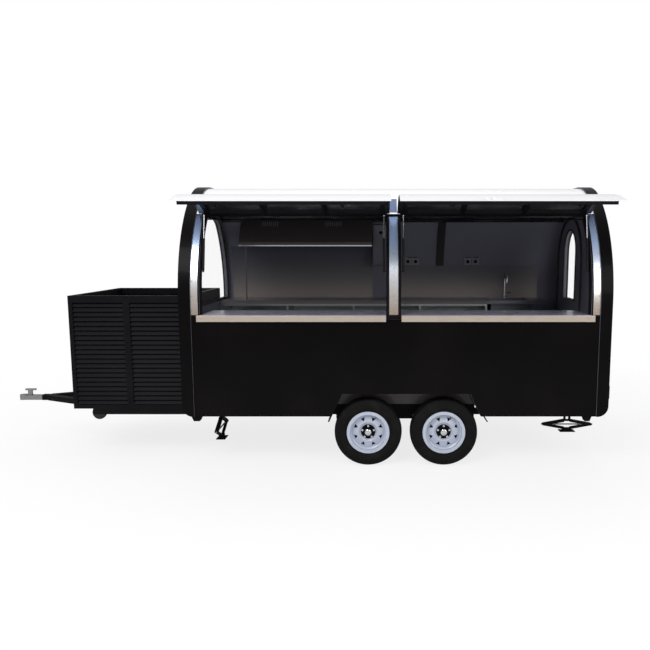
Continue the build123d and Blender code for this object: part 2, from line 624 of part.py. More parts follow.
BEAM_W = 60.0
BEAM_H = RAIL_TOP - RAIL_LOW
beam_z = (RAIL_LOW + RAIL_TOP) / 2
BEAM_SLOPE = 0.496
reach = 1.15 * (RAIL_OUT - RAIL_W) / BEAM_SLOPE
beam_start = APEX_X + 60
beam_end = 20 + BEAM_SLOPE * reach
half_beams = [bar((beam_start, side * 20, beam_z), (beam_start + reach, side * beam_end, beam_z),
                  BEAM_W, BEAM_H) for side in (-1, 1)]
NOSE = 27.0               # the drawbar's nose reaches this far ahead of the apex
drawbar = half_beams[0] + half_beams[1]
drawbar += block(APEX_X - NOSE, APEX_X + 120, -32, 32, RAIL_LOW, RAIL_TOP)
drawbar = drawbar & block(-4000, -2000, RAIL_W - RAIL_OUT, RAIL_OUT - RAIL_W, 0, 1000)
drawbar -= block(RAIL_FRONT, RAIL_FRONT + CROSS_W, -FAR, FAR, 0, 1000)
JOCKEY_X = -3232.0
JOCKEY_TUBE_R = 25.0
JOCKEY_LEG_R = 21.0
JOCKEY_FIT = 0.2
spread = 20 + BEAM_SLOPE * (JOCKEY_X - beam_start)
saddle = block(JOCKEY_X - 35, JOCKEY_X + 35, -spread, spread, RAIL_LOW + 10, RAIL_TOP - 10)
saddle -= rod_z(0, 1000, JOCKEY_X, 0, JOCKEY_TUBE_R + 0.1)
drawbar += saddle
keep("drawbar", drawbar)

# Coupler with its ball socket and latch
BALL_R = 25.0
ball_x = COUPLER_TIP + 40
coupler = rod_z(COUPLER_Z - 25, COUPLER_Z + 30, ball_x, 0, 40)
coupler += block(ball_x, APEX_X - NOSE - SEAT, -31, 31, COUPLER_Z - 25, COUPLER_Z + 25)
coupler -= Pos(ball_x, 0, COUPLER_Z - 5) * Sphere(BALL_R + 0.5)
coupler -= rod_z(COUPLER_Z - 60, COUPLER_Z - 5, ball_x, 0, BALL_R + 0.5)
latch = block(-3960, -3915, -12, 12, COUPLER_Z + 25, COUPLER_Z + 82)
latch += block(-3985, -3875, -16, 16, COUPLER_Z + 78, COUPLER_Z + 94)
keep("coupler", coupler + latch)

# Jockey wheel, drawn wound up off the ground
JOCKEY_R = 75.0
JOCKEY_W = 45.0
JOCKEY_TRAIL = 35.0
JOCKEY_Z = 272.0          # height of the wheel's middle
JOCKEY_STEM_R = 9.0
SLEEVE_LOW = 408.0
SLEEVE_TOP = 880.0
jockey_top = JOCKEY_Z + JOCKEY_R
sleeve = rod_z(SLEEVE_LOW, SLEEVE_TOP, JOCKEY_X, 0, JOCKEY_TUBE_R)
sleeve -= rod_z(SLEEVE_LOW - 10, SLEEVE_TOP + 10, JOCKEY_X, 0, JOCKEY_LEG_R + JOCKEY_FIT)
sleeve += rod_z(SLEEVE_TOP, SLEEVE_TOP + 20, JOCKEY_X, 0, JOCKEY_TUBE_R)
crank = rod_z(SLEEVE_TOP + 20, SLEEVE_TOP + 45, JOCKEY_X, 0, 9)
crank += bar((JOCKEY_X, 0, SLEEVE_TOP + 38), (JOCKEY_X, 130, SLEEVE_TOP + 50), 14, 8)
crank += rod_z(SLEEVE_TOP + 46, SLEEVE_TOP + 110, JOCKEY_X, 130, 9)
keep("jockey_sleeve", sleeve + crank)
stem_low, stem_top = jockey_top + 12, SLEEVE_LOW - 17
leg = rod_z(stem_low + 10, SLEEVE_TOP - 80, JOCKEY_X, 0, JOCKEY_LEG_R)
leg -= rod_z(stem_low, stem_top + 2, JOCKEY_X, 0, JOCKEY_STEM_R + STRUT_FIT)
keep("jockey_leg", leg)
fork_x = JOCKEY_X + JOCKEY_TRAIL
crown_low, crown_high = jockey_top + 10, jockey_top + 17
fork = rod_z(stem_low, stem_top, JOCKEY_X, 0, JOCKEY_STEM_R)
fork += block(JOCKEY_X - 30, JOCKEY_X + 40, -32, 32, crown_low, crown_high)
cheek = polygon([(JOCKEY_X - 30, crown_high), (JOCKEY_X + 40, crown_high), (fork_x + 18, JOCKEY_Z - 15),
                 (fork_x - 18, JOCKEY_Z - 15)])
for side in (-1, 1):
    fork += prism_y(cheek, *sorted((side * 27, side * 32)))
JOCKEY_AXLE_R = 7.0
fork += rod_y(-36, 36, fork_x, JOCKEY_Z, JOCKEY_AXLE_R)
keep("jockey_fork", fork)
wheel = rod_y(-JOCKEY_W / 2, JOCKEY_W / 2, fork_x, JOCKEY_Z, JOCKEY_R)
wheel = fillet(wheel.edges().filter_by(GeomType.CIRCLE), 12)
wheel -= rod_y(-JOCKEY_W, JOCKEY_W, fork_x, JOCKEY_Z, JOCKEY_AXLE_R + STRUT_FIT)
keep("jockey_wheel", wheel)

# Front box: a steel frame with louvred panels on three sides, open at the top
BOX_REAR = -BODY_LENGTH / 2 - 4
STILE = 40.0
BOX_RIM_LOW = 1518.0
BOX_FOOT_TOP = 507.0
BOX_DEPTH = 40.0
SLATS = 22
BOX_FLOOR_T = 4.0
inner_y = BOX_HALF - BOX_DEPTH
shell = block(BOX_FRONT, BOX_REAR, -BOX_HALF, BOX_HALF, RAIL_TOP, BOX_TOP)
shell -= block(BOX_FRONT + BOX_DEPTH, BOX_REAR - BOX_DEPTH, -inner_y, inner_y, RAIL_TOP - 5, BOX_TOP + 5)
# windows through the two long sides, then through the front
side_panels = ((BOX_FRONT + STILE, -2636.0), (-2574.0, -2100.0))
front_panels = ((-inner_y, -31.0), (31.0, inner_y))
for x_low, x_high in side_panels:
    shell -= block(x_low, x_high, -BOX_HALF - 5, BOX_HALF + 5, BOX_FOOT_TOP, BOX_RIM_LOW)
for y_low, y_high in front_panels:
    shell -= block(BOX_FRONT - 5, BOX_FRONT + BOX_DEPTH + 5, y_low, y_high, BOX_FOOT_TOP, BOX_RIM_LOW)
shell -= block(BOX_REAR - BOX_DEPTH - 5, BOX_REAR - 4, -inner_y, inner_y, BOX_FOOT_TOP, BOX_RIM_LOW)
shell += block(BOX_FRONT + 5, BOX_REAR - 5, -BOX_HALF + 5, BOX_HALF - 5, RAIL_TOP, RAIL_TOP + BOX_FLOOR_T)
keep("front_box_frame", shell)
pitch = (BOX_RIM_LOW - BOX_FOOT_TOP) / SLATS
LOUVRE_DEEP = 22.0
LOUVRE_T = 3.0


def louvre_outline(sign, outer):
    """Saw-toothed sheet section: each slat leans out towards its lower edge."""
    points = [(sign * (outer - LOUVRE_DEEP), BOX_FOOT_TOP)]
    for index in range(SLATS):
        low = BOX_FOOT_TOP + index * pitch
        points += [(sign * outer, low + 6), (sign * (outer - LOUVRE_DEEP), low + pitch)]
    inner = outer - LOUVRE_DEEP - LOUVRE_T
    points += [(sign * inner, BOX_RIM_LOW), (sign * inner, BOX_FOOT_TOP)]
    return polygon(points)


louvres = []
for x_low, x_high in side_panels:
    louvres += [prism_x(louvre_outline(sign, BOX_HALF - 3), x_low, x_high) for sign in (-1, 1)]
for y_low, y_high in front_panels:
    louvres.append(prism_y(louvre_outline(-1, -BOX_FRONT - 3), y_low, y_high))
keep("front_box_louvres", louvres)

# Running gear
axle_places = (TANDEM_X - AXLE_SPACING / 2, TANDEM_X + AXLE_SPACING / 2)
wheel_y = BODY_WIDTH / 2 - TYRE_OUT - TYRE_W / 2
SPINDLE_R = 20.0
DRUM_R = 115.0
AXLE_BOX = 50.0
DISC_OUT = 36.0           # wheel disc face from the tyre's middle
axles = []
for x in axle_places:
    axle = block(x - AXLE_BOX / 2, x + AXLE_BOX / 2, -760, 760, AXLE_Z - AXLE_BOX / 2, AXLE_Z + AXLE_BOX / 2)
    axle += rod_y(-wheel_y - 60, wheel_y + 60, x, AXLE_Z, SPINDLE_R)
    for side in (-1, 1):
        low, high = sorted((side * (wheel_y - 100), side * (wheel_y + 18)))
        axle += rod_y(low, high, x, AXLE_Z, DRUM_R)
    axles.append(axle)
keep("axles", axles)

SPRING_Y = RAIL_OUT - RAIL_W / 2
SPRING_W = 50.0
SPRING_HALF = 300.0
SPRING_T = 24.0
SPRING_EYE_Z = 388.0
saddle_z = AXLE_Z + AXLE_BOX / 2
springs, hangers = [], []
hanger_low = SPRING_EYE_Z - 18
for side in (-1, 1):
    low, high = side * SPRING_Y - SPRING_W / 2, side * SPRING_Y + SPRING_W / 2
    for x in axle_places:
        start, end = x - SPRING_HALF, x + SPRING_HALF
        under = ThreePointArc((start, SPRING_EYE_Z - 10), (x, saddle_z), (end, SPRING_EYE_Z - 10))
        over = ThreePointArc((end, SPRING_EYE_Z - 3), (x, saddle_z + SPRING_T), (start, SPRING_EYE_Z - 3))
        leaf = make_face([under, Line(under @ 1, over @ 0), over, Line(over @ 1, under @ 0)])
        eyes = [rod_y(low, high, eye_x, SPRING_EYE_Z, 14) for eye_x in (start, end)]
        springs.append(prism_y(leaf, low, high) + eyes[0] + eyes[1])
    # the hangers' cheeks stand either side of the outer eyes, and of both inner eyes together
    hanger_spans = [(axle_places[0] - SPRING_HALF, axle_places[0] - SPRING_HALF),
                    (axle_places[0] + SPRING_HALF, axle_places[1] - SPRING_HALF),
                    (axle_places[1] + SPRING_HALF, axle_places[1] + SPRING_HALF)]
    for first, last in hanger_spans:
        for edge in (SPRING_W / 2, -SPRING_W / 2 - 4):
            cheek_y = sorted((side * (SPRING_Y + edge), side * (SPRING_Y + edge + 4)))
            hangers.append(block(first - 20, last + 20, *cheek_y, hanger_low, RAIL_LOW))
keep("leaf_springs", springs)
for hanger in hangers:
    frame += hanger
keep("chassis", frame)

SPOKE_HOLES = 8
LUGS = 5
LUG_CIRCLE = 57.15
tyre_face = make_face([
    Line((-73.7, RIM_SEAT_R + SEAT), (-73.7, 205)),
    Line((-73.7, 205), (-88, 222)),
    ThreePointArc((-88, 222), (-TYRE_W / 2, 258), (-88, 297)),
    ThreePointArc((-88, 297), (-82, 311), (-68, 318)),
    ThreePointArc((-68, 318), (0, TYRE_R), (68, 318)),
    ThreePointArc((68, 318), (82, 311), (88, 297)),
    ThreePointArc((88, 297), (TYRE_W / 2, 258), (88, 222)),
    Line((88, 222), (73.7, 205)),
    Line((73.7, 205), (73.7, RIM_SEAT_R + SEAT)),
    Line((73.7, RIM_SEAT_R + SEAT), (60, RIM_SEAT_R + SEAT)),
    ThreePointArc((60, RIM_SEAT_R + SEAT), (78, 254), (62, 305)),
    ThreePointArc((62, 305), (0, 309), (-62, 305)),
    ThreePointArc((-62, 305), (-78, 254), (-60, RIM_SEAT_R + SEAT)),
    Line((-60, RIM_SEAT_R + SEAT), (-73.7, RIM_SEAT_R + SEAT))])
rim_face = polygon([(80, 203), (75, 203), (74, 178), (48, 176), (38, 162), (-30, 162), (-42, 176),
                    (-74, 178), (-75, 203), (-80, 203), (-80, 174), (-44, 171), (-33, 157), (36, 157),
                    (46, 171), (80, 174)])
bore_r = SPINDLE_R + 0.1
disc_face = polygon([(30, bore_r), (30, 72), (42, 92), (40, 100), (22, 157.5), (17, 157.5), (34, 100),
                     (36, 92), (24, 76), (24, bore_r)])
hub_face = polygon([(20, bore_r), (20, 40), (58, 36), (74, 30), (74, 0), (62, 0), (62, bore_r)])


def revolved(face):
    """A section drawn as (across, radius), turned about the wheel's axle, Y."""
    lying = Plane(origin=(0, 0, 0), x_dir=(0, 1, 0), z_dir=(1, 0, 0)) * face
    return revolve(lying, Axis.Y, 360)


rim = revolved(rim_face) + revolved(disc_face) + revolved(hub_face)
window = polygon([(0, 104), (-21, 140), (21, 140)])
for index in range(SPOKE_HOLES):
    cutter = prism_y(window.rotate(Axis.Z, 360 * (index + 0.5) / SPOKE_HOLES), 5, 60)
    rim -= cutter
for index in range(LUGS):
    angle = 2 * pi * index / LUGS + pi / 2
    rim += rod_y(24, 44, LUG_CIRCLE * cos(angle), LUG_CIRCLE * sin(angle), 9)
tyre = revolved(tyre_face)
for x, end in zip(axle_places, ("front", "rear")):
    for side, label in ((-1, "serving"), (1, "off")):
        place = Pos(x, side * wheel_y, AXLE_Z)
        turned = Rot(0, 0, 180) if side < 0 else Rot(0, 0, 0)
        keep(f"rim_{label}_{end}", place * turned * rim)
        keep(f"tyre_{label}_{end}", place * turned * tyre)

# Mud flaps before and behind the tandem: top place, foot place, height of the bend
FLAP_T = 14.0
FLAP_LOW = 405.0
flaps = []
for x_top, x_foot, bend_z in ((-596.0, -640.0, 500.0), (823.0, 871.0, 478.0)):
    outline = polygon([(x_top, FLOOR_LOW), (x_top, bend_z), (x_foot, FLAP_LOW), (x_foot + FLAP_T, FLAP_LOW),
                       (x_top + FLAP_T, bend_z), (x_top + FLAP_T, FLOOR_LOW)])
    flaps += both_sides(prism_y(outline, 775, 950))
keep("mud_flaps", flaps)

# Corner jacks: folding scissors under the rails
JACK_ARM = 208.0
jack_parts = {"corner_jacks": [], "jack_screws": []}
# place along the length, height of the top pivots, height of the foot, True where it folds across the cart
for x, top_z, foot_z, across in ((1715.0, 345.0, 237.0, False), (-1720.0, 372.0, 168.0, True)):
    drop = (top_z - foot_z - 32) / 2
    spread_h = sqrt(JACK_ARM ** 2 - drop ** 2)
    for side in (-1, 1):
        place = Pos(x, side * SPRING_Y, 0)
        turn = Rot(0, 0, 90) if across else Rot(0, 0, 0)
        arms = []
        for end in (-1, 1):
            knee = (end * (30 + spread_h), 0, top_z - drop)
            arms.append(bar((end * 30, 0, top_z), knee, 34, 26))
            arms.append(bar((end * 30, 0, top_z - 2 * drop), knee, 24, 24))
        linkage = arms[0]
        for arm in arms[1:]:
            linkage += arm
        for end in (-1, 1):
            linkage += rod_y(-18, 18, end * (30 + spread_h), top_z - drop, 12)
        screw = rod_x(-30 - spread_h - 20, 30 + spread_h + 20, 0, top_z - drop, 7)
        bracket = block(-45, 45, -19, 19, top_z - 4, top_z + 10)
        for leg_x in (-24, 24):
            bracket += block(leg_x - 8, leg_x + 8, -15, 15, top_z + 8, RAIL_LOW)
        foot = block(-75, 75, -45, 45, foot_z, foot_z + 6) + block(-45, 45, -19, 19, foot_z + 6, foot_z + 34)
        linkage += bracket + foot
        jack_parts["corner_jacks"].append(place * turn * linkage)
        jack_parts["jack_screws"].append(place * turn * (screw - linkage))
for name, solids in jack_parts.items():
    keep(name, solids)

# Tail lamps
lamp = block(half_length, half_length + 26, 850, 950, 620, 760)
lamp = fillet(lamp.edges().filter_by(Axis.X), 20)
keep("tail_lamps", both_sides(lamp))

# Everything is moved so that the origin is on the ground under the middle of the cart
flat_nodes = {}
for name, shapes in nodes.items():
    flat_nodes[name] = [solid for shape in shapes for solid in shape.solids()]
boxes = [solid.bounding_box() for solids in flat_nodes.values() for solid in solids]
SHIFT = Vector(-(min(box.min.X for box in boxes) + max(box.max.X for box in boxes)) / 2,
               -(min(box.min.Y for box in boxes) + max(box.max.Y for box in boxes)) / 2,
               -min(box.min.Z for box in boxes))

os.makedirs("parts", exist_ok=True)
for name, solids in flat_nodes.items():
    moved = [Pos(SHIFT) * solid for solid in solids]
    export_step(Compound(children=moved) if len(moved) > 1 else moved[0], f"parts/{name}.step")
print("shift", SHIFT, "nodes", len(flat_nodes))
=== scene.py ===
# %% [markdown]
# # A food cart, dressed for its picture
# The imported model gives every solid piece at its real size, in metres, with +X towards the
# rear door, -Y towards the serving side and +Z up. This notebook gives the pieces their
# finishes and adds the small things that a maker fits last: trims, gaskets, screws, tread.

# %% Load the frame
import json
import math

import bmesh
import bpy
import numpy as np
from mathutils import Matrix, Vector

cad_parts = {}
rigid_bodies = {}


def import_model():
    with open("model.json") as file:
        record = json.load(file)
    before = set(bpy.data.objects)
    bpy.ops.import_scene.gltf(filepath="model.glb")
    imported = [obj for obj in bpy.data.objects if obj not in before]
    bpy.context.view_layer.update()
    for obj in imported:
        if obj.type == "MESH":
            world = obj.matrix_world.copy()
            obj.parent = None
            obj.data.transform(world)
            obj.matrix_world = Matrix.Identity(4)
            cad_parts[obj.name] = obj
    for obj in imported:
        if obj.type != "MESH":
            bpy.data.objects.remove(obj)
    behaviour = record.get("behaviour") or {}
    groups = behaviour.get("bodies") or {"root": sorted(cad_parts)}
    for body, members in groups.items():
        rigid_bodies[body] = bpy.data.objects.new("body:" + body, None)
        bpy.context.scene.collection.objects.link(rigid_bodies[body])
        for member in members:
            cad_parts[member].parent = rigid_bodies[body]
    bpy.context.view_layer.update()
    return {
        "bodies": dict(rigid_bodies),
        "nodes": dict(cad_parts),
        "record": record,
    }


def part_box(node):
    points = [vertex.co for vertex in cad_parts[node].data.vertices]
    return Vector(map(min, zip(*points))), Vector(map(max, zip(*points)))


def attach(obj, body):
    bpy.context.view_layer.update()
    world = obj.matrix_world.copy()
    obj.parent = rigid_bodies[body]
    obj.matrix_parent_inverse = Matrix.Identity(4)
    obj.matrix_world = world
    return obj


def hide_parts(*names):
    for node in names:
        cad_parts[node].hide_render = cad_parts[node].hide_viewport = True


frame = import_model()
nodes = frame["nodes"]
print("nodes", len(nodes), "bodies", len(frame["bodies"]))

# %% [markdown]
# ## Where things are
# Most places follow from the pieces themselves. The body's ends give its middle and its
# near side, and the underside of the floor gives the level that heights are drawn from.

# %% Measures read from the frame
front_low, front_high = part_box("front_wall")
rear_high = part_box("rear_wall")[1]
MID_X = (front_low.x + rear_high.x) / 2
MID_Y = (front_low.y + front_high.y) / 2
SIDE_Y = front_low.y
FLOOR_LOW = 0.560
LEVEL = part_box("floor")[0].z - FLOOR_LOW


def at(x, y, z):
    """A place drawn in millimetres from the middle of the body, in the frame's metres."""
    return Vector((MID_X + x / 1000, MID_Y + y / 1000, LEVEL + z / 1000))


# the body's arch, in millimetres: straight up to the spring, then in on one radius
SPRING, ARCH_R, ARCH_LEAN = 1550.0, 1170.0, -170.0


def on_wall(x, z, proud=0.0, side=-1):
    """A place on the curved side wall, and the way that the wall faces there."""
    angle = math.asin(max(0.0, z - SPRING) / ARCH_R)
    reach = ARCH_LEAN + (ARCH_R + proud) * math.cos(angle)
    lift = proud * math.sin(angle)
    return at(x, side * reach, z + lift), Vector((0, side * math.cos(angle), math.sin(angle)))


print("body middle", round(MID_X, 3), round(MID_Y, 3), "near side", round(SIDE_Y, 3))

# %% [markdown]
# ## Camera
# The photograph was taken at standing height from well in front of the serving side, a
# little left of the middle. Its lens, height and tilt were fitted to the body's corners.
# The picture was cropped off centre, so the camera's shift carries that.

# %% Camera
PICTURE = 650
FOCAL_PX = 689.57
PRINCIPAL_PX = (380.58, 342.16)
PITCH = math.radians(7.752)
SENSOR_MM = 36.0
CAMERA_AT = Vector((MID_X - 0.138, SIDE_Y - 6.343, LEVEL + 2.041))

camera_data = bpy.data.cameras.new("camera")
camera_data.sensor_width = SENSOR_MM
camera_data.lens = FOCAL_PX * SENSOR_MM / PICTURE
camera_data.shift_x = (PICTURE / 2 - PRINCIPAL_PX[0]) / PICTURE
camera_data.shift_y = (PRINCIPAL_PX[1] - PICTURE / 2) / PICTURE
camera = bpy.data.objects.new("camera", camera_data)
camera.location = CAMERA_AT
camera.rotation_euler = (math.pi / 2 - PITCH, 0, 0)
bpy.context.scene.collection.objects.link(camera)
bpy.context.scene.camera = camera
print("lens", round(camera_data.lens, 2), "mm")

# %% [markdown]
# ## Writing shader maths as plain expressions
# A pattern is a sum of small formulas. Wrapping a socket in a class lets a formula be
# written as one, and each operator adds the Math node that does it.


# %% A socket that can be added and multiplied
class Wire:
    """A shader value: operators on it add Math nodes to its tree."""

    def __init__(self, sheet, socket):
        self.sheet, self.socket = sheet, socket

    def _math(self, operation, *others):
        return self.sheet.math(operation, self, *others)

    def __add__(self, other):
        return self._math("ADD", other)

    __radd__ = __add__

    def __sub__(self, other):
        return self._math("SUBTRACT", other)

    def __rsub__(self, other):
        return self.sheet.math("SUBTRACT", other, self)

    def __mul__(self, other):
        return self._math("MULTIPLY", other)

    __rmul__ = __mul__

    def abs(self):
        return self._math("ABSOLUTE")

    def sqrt(self):
        return self._math("SQRT")

    def sine(self):
        return self._math("SINE")

    def steps(self, low, high):
        """0 below low, 1 above high, smooth between."""
        return self.sheet.add("ShaderNodeMapRange", {"interpolation_type": "SMOOTHSTEP"},
                              {"Value": self, "From Min": low, "From Max": high})["Result"]


class Sheet:
    """One material and the nodes on its sheet."""

    def __init__(self, name):
        self.material = bpy.data.materials.new(name)
        self.material.use_nodes = True
        self.tree = self.material.node_tree
        self.tree.nodes.clear()
        self.output = self.tree.nodes.new("ShaderNodeOutputMaterial")

    def add(self, kind, settings=None, inputs=None):
        """One node: its settings first, then the values or links of its sockets."""
        node = self.tree.nodes.new(kind)
        for key, value in (settings or {}).items():
            if key == "stops":
                ramp = node.color_ramp
                while len(ramp.elements) < len(value):
                    ramp.elements.new(0.5)
                for element, (place, colour) in zip(ramp.elements, value):
                    element.position = place
                    element.color = colour if len(colour) == 4 else (*colour, 1)
            else:
                setattr(node, key, value)
        for key, value in (inputs or {}).items():
            self.join(value, node.inputs[key])
        return Outputs(self, node)

    def join(self, value, socket):
        if isinstance(value, Wire):
            self.tree.links.new(value.socket, socket)
        elif isinstance(value, (tuple, list)) and len(value) == 3 and socket.type == "RGBA":
            socket.default_value = (*value, 1)
        else:
            socket.default_value = value

    def math(self, operation, *values):
        node = self.tree.nodes.new("ShaderNodeMath")
        node.operation = operation
        for index, value in enumerate(values):
            self.join(value, node.inputs[index])
        return Wire(self, node.outputs[0])

    def mix(self, share, first, second):
        """Two colours mixed by a share from 0 to 1."""
        node = self.tree.nodes.new("ShaderNodeMix")
        node.data_type = "RGBA"
        for value, index in ((share, 0), (first, 6), (second, 7)):
            self.join(value, node.inputs[index])
        return Wire(self, node.outputs[2])

    def place(self, scale=(1, 1, 1), offset=(0, 0, 0)):
        """Object coordinates, moved and scaled."""
        coordinates = self.add("ShaderNodeTexCoord")["Object"]
        return self.add("ShaderNodeMapping", None,
                        {"Vector": coordinates, "Scale": scale, "Location": offset})["Vector"]

    def split(self, vector):
        """The three parts of a vector."""
        parts = self.add("ShaderNodeSeparateXYZ", None, {"Vector": vector})
        return parts["X"], parts["Y"], parts["Z"]

    def noise(self, scale, detail=2.0, stretch=(1, 1, 1), roughness=0.5):
        return self.add("ShaderNodeTexNoise", None,
                        {"Vector": self.place(stretch), "Scale": scale, "Detail": detail,
                         "Roughness": roughness})["Fac"]

    def bump(self, height, strength, distance=0.001):
        return self.add("ShaderNodeBump", None, {"Height": height, "Strength": strength,
                                                 "Distance": distance})["Normal"]

    def finish(self, **inputs):
        """The surface shader, with the values or links that this finish needs."""
        names = {key: key.replace("_", " ").title().replace("Ior", "IOR") for key in inputs}
        shader = self.add("ShaderNodeBsdfPrincipled", None,
                          {names[key]: value for key, value in inputs.items()})
        self.tree.links.new(shader["BSDF"].socket, self.output.inputs["Surface"])
        return self.material


class Outputs:
    """A node's outputs by name, each as a Wire."""

    def __init__(self, sheet, node):
        self.sheet, self.node = sheet, node

    def __getitem__(self, name):
        return Wire(self.sheet, self.node.outputs[name])


# %% [markdown]
# ## Finishes
# Each finish is one function. A real painted panel is never one colour: it has a faint
# orange-peel ripple, dust and small changes of gloss, and those changes are what make the
# reflections look right.


# %% Black gloss body panels with pale inner faces
def outward(sheet, centre):
    """Above 0 where a face looks away from the middle of the body, below 0 where it looks in."""
    geometry = sheet.add("ShaderNodeNewGeometry")
    away = sheet.add("ShaderNodeVectorMath", {"operation": "SUBTRACT"},
                     {0: sheet.place(), 1: centre})["Vector"]
    return sheet.add("ShaderNodeVectorMath", {"operation": "DOT_PRODUCT"},
                     {0: away, 1: geometry["True Normal"]})["Value"]


BODY_CENTRE = (MID_X, MID_Y, 1.5)
BLACK_GLOSS = (0.0016, 0.0011, 0.0012)
INNER_PANEL = (0.15, 0.15, 0.19)


def body_panel(name, outer, inner):
    sheet = Sheet(name)
    outside = outward(sheet, BODY_CENTRE).steps(-0.25, 0.05)
    haze = sheet.noise(1.3, 3.0)
    colour = sheet.mix(outside, inner, outer)
    x, y, z = sheet.split(sheet.place())
    splash = (0.95 - z).steps(0.0, 0.45) * haze.steps(0.45, 0.75)
    dusty = sheet.mix(haze.steps(0.35, 0.8) * 0.05 + splash * 0.05, colour, (0.035, 0.028, 0.026))
    ripple = sheet.noise(38.0, 1.0)
    return sheet.finish(base_color=dusty, roughness=outside * -0.30 + (0.58 + 0.08 * haze),
                        specular_ior_level=0.05, coat_weight=outside * 0.03, coat_roughness=0.08,
                        normal=sheet.bump(ripple, 0.06, 0.0006))


# %% Off-white gloss for the roof and the hatches' skins, with painted shade on faces that look in
def white_skin_painted_shade(name, low, high):
    sheet = Sheet(name)
    outside = outward(sheet, BODY_CENTRE).steps(low, high)
    haze = sheet.noise(2.1, 3.0)
    # painted shade: faces that look in towards the body's middle or down, such as the hatches' undersides
    # and the roof's cut edges, are near black
    colour = sheet.mix(outside, (0.012, 0.012, 0.014), (0.80, 0.80, 0.82))
    colour = sheet.mix(haze.steps(0.4, 0.8) * 0.1, colour, (0.6, 0.6, 0.62))
    return sheet.finish(base_color=colour, roughness=0.2 + 0.12 * haze, coat_weight=0.3,
                        normal=sheet.bump(sheet.noise(30.0, 1.0), 0.05, 0.0006))


# %% Satin black powder coat
def powder_coat(name, colour, roughness=0.38):
    sheet = Sheet(name)
    grain = sheet.noise(900.0, 1.0)
    patch = sheet.noise(4.0, 3.0)
    tone = sheet.mix(patch.steps(0.35, 0.75) * 0.35, colour, tuple(2.2 * part for part in colour))
    return sheet.finish(base_color=tone, roughness=roughness + 0.12 * patch, specular_ior_level=0.06,
                        normal=sheet.bump(grain, 0.12, 0.0003))


# %% Brushed stainless steel
def stainless(name, colour=(0.60, 0.61, 0.63), roughness=0.26, along=(1, 60, 60)):
    sheet = Sheet(name)
    brush = sheet.noise(14.0, 2.0, along)
    patch = sheet.noise(2.5, 2.0)
    tone = sheet.mix(brush.steps(0.3, 0.7) * 0.35, colour, tuple(0.78 * part for part in colour))
    return sheet.finish(base_color=tone, metallic=1.0, roughness=roughness + 0.12 * patch,
                        normal=sheet.bump(brush, 0.05, 0.0003))


def steel_with_painted_reflection(name, low, high, stops, roughness, metallic=0.3):
    """Polished steel with painted reflection: its colour is graded up the piece for what it mirrors."""
    sheet = Sheet(name)
    x, y, z = sheet.split(sheet.place())
    brush = sheet.noise(14.0, 2.0, (40, 40, 1))
    share = sheet.math("MULTIPLY_ADD", z - low, 1 / (high - low), 0.05 * (brush - 0.5))
    # painted reflection: the ramp's colours stand for what the steel mirrors at each height
    tone = sheet.add("ShaderNodeValToRGB", {"stops": stops}, {"Fac": share})["Color"]
    return sheet.finish(base_color=tone, metallic=metallic, roughness=roughness + 0.1 * brush,
                        normal=sheet.bump(brush, 0.05, 0.0003))


def counter_steel():
    """Counter steel with painted reflection: a cool sky tone on faces that look up and a warmer ground
    tone on the lip, with darker streaks and worn patches.
    """
    sheet = Sheet("counter_steel")
    geometry = sheet.add("ShaderNodeNewGeometry")
    x, y, up = sheet.split(geometry["Normal"])
    brush = sheet.noise(14.0, 2.0, (1, 60, 60))
    wear = sheet.noise(5.0, 4.0)
    # painted reflection: faces that look up get a cool sky tone, faces that look sideways a warm ground
    # tone
    tone = sheet.mix(up.steps(0.3, 0.8), (0.50, 0.42, 0.35), (0.40, 0.43, 0.55))
    worn = brush.steps(0.3, 0.7) * 0.2 + wear.steps(0.55, 0.8) * 0.2
    tone = sheet.mix(worn, tone, (0.20, 0.20, 0.25))
    return sheet.finish(base_color=tone, metallic=0.35, roughness=0.16 + 0.15 * wear,
                        normal=sheet.bump(brush, 0.05, 0.0003))


# %% Rubber, plastics, glass and the rest
def rubber(name, colour=(0.018, 0.018, 0.019), roughness=0.62):
    sheet = Sheet(name)
    dust = sheet.noise(9.0, 3.0)
    tone = sheet.mix(dust.steps(0.45, 0.8) * 0.5, colour, (0.06, 0.058, 0.055))
    return sheet.finish(base_color=tone, roughness=roughness + 0.2 * dust,
                        normal=sheet.bump(sheet.noise(600.0, 1.0), 0.15, 0.0003))


# where the two axles are along the body and how high, in metres
tyre_low, tyre_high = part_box("tyre_serving_front")
next_low, next_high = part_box("tyre_serving_rear")
AXLE_X = ((tyre_low.x + tyre_high.x) / 2, (next_low.x + next_high.x) / 2)
AXLE_Z = (tyre_low.z + tyre_high.z) / 2


def tyre_finish():
    """Rubber with a tread cut across it and fine rings on its walls."""
    sheet = Sheet("tyre_rubber")
    x, y, z = sheet.split(sheet.place())
    along = (x - sum(AXLE_X) / 2).abs() - (AXLE_X[1] - AXLE_X[0]) / 2
    rise = z - AXLE_Z
    radius = (along * along + rise * rise).sqrt()
    angle = sheet.math("ARCTAN2", rise, along)
    on_tread = radius.steps(0.309, 0.314)
    cuts = (angle * 64.0 + y * 55.0).sine().steps(0.35, 0.75) * on_tread
    rings = (radius * 900.0).sine() * 0.25 * (1.0 - on_tread)
    dust = sheet.noise(9.0, 3.0)
    tone = sheet.mix(dust.steps(0.45, 0.8) * 0.4, (0.0045, 0.0045, 0.0045), (0.02, 0.019, 0.018))
    return sheet.finish(base_color=tone, roughness=0.6 + 0.2 * dust, specular_ior_level=0.12,
                        normal=sheet.bump(rings - cuts * 3.0, 0.8, 0.0015))


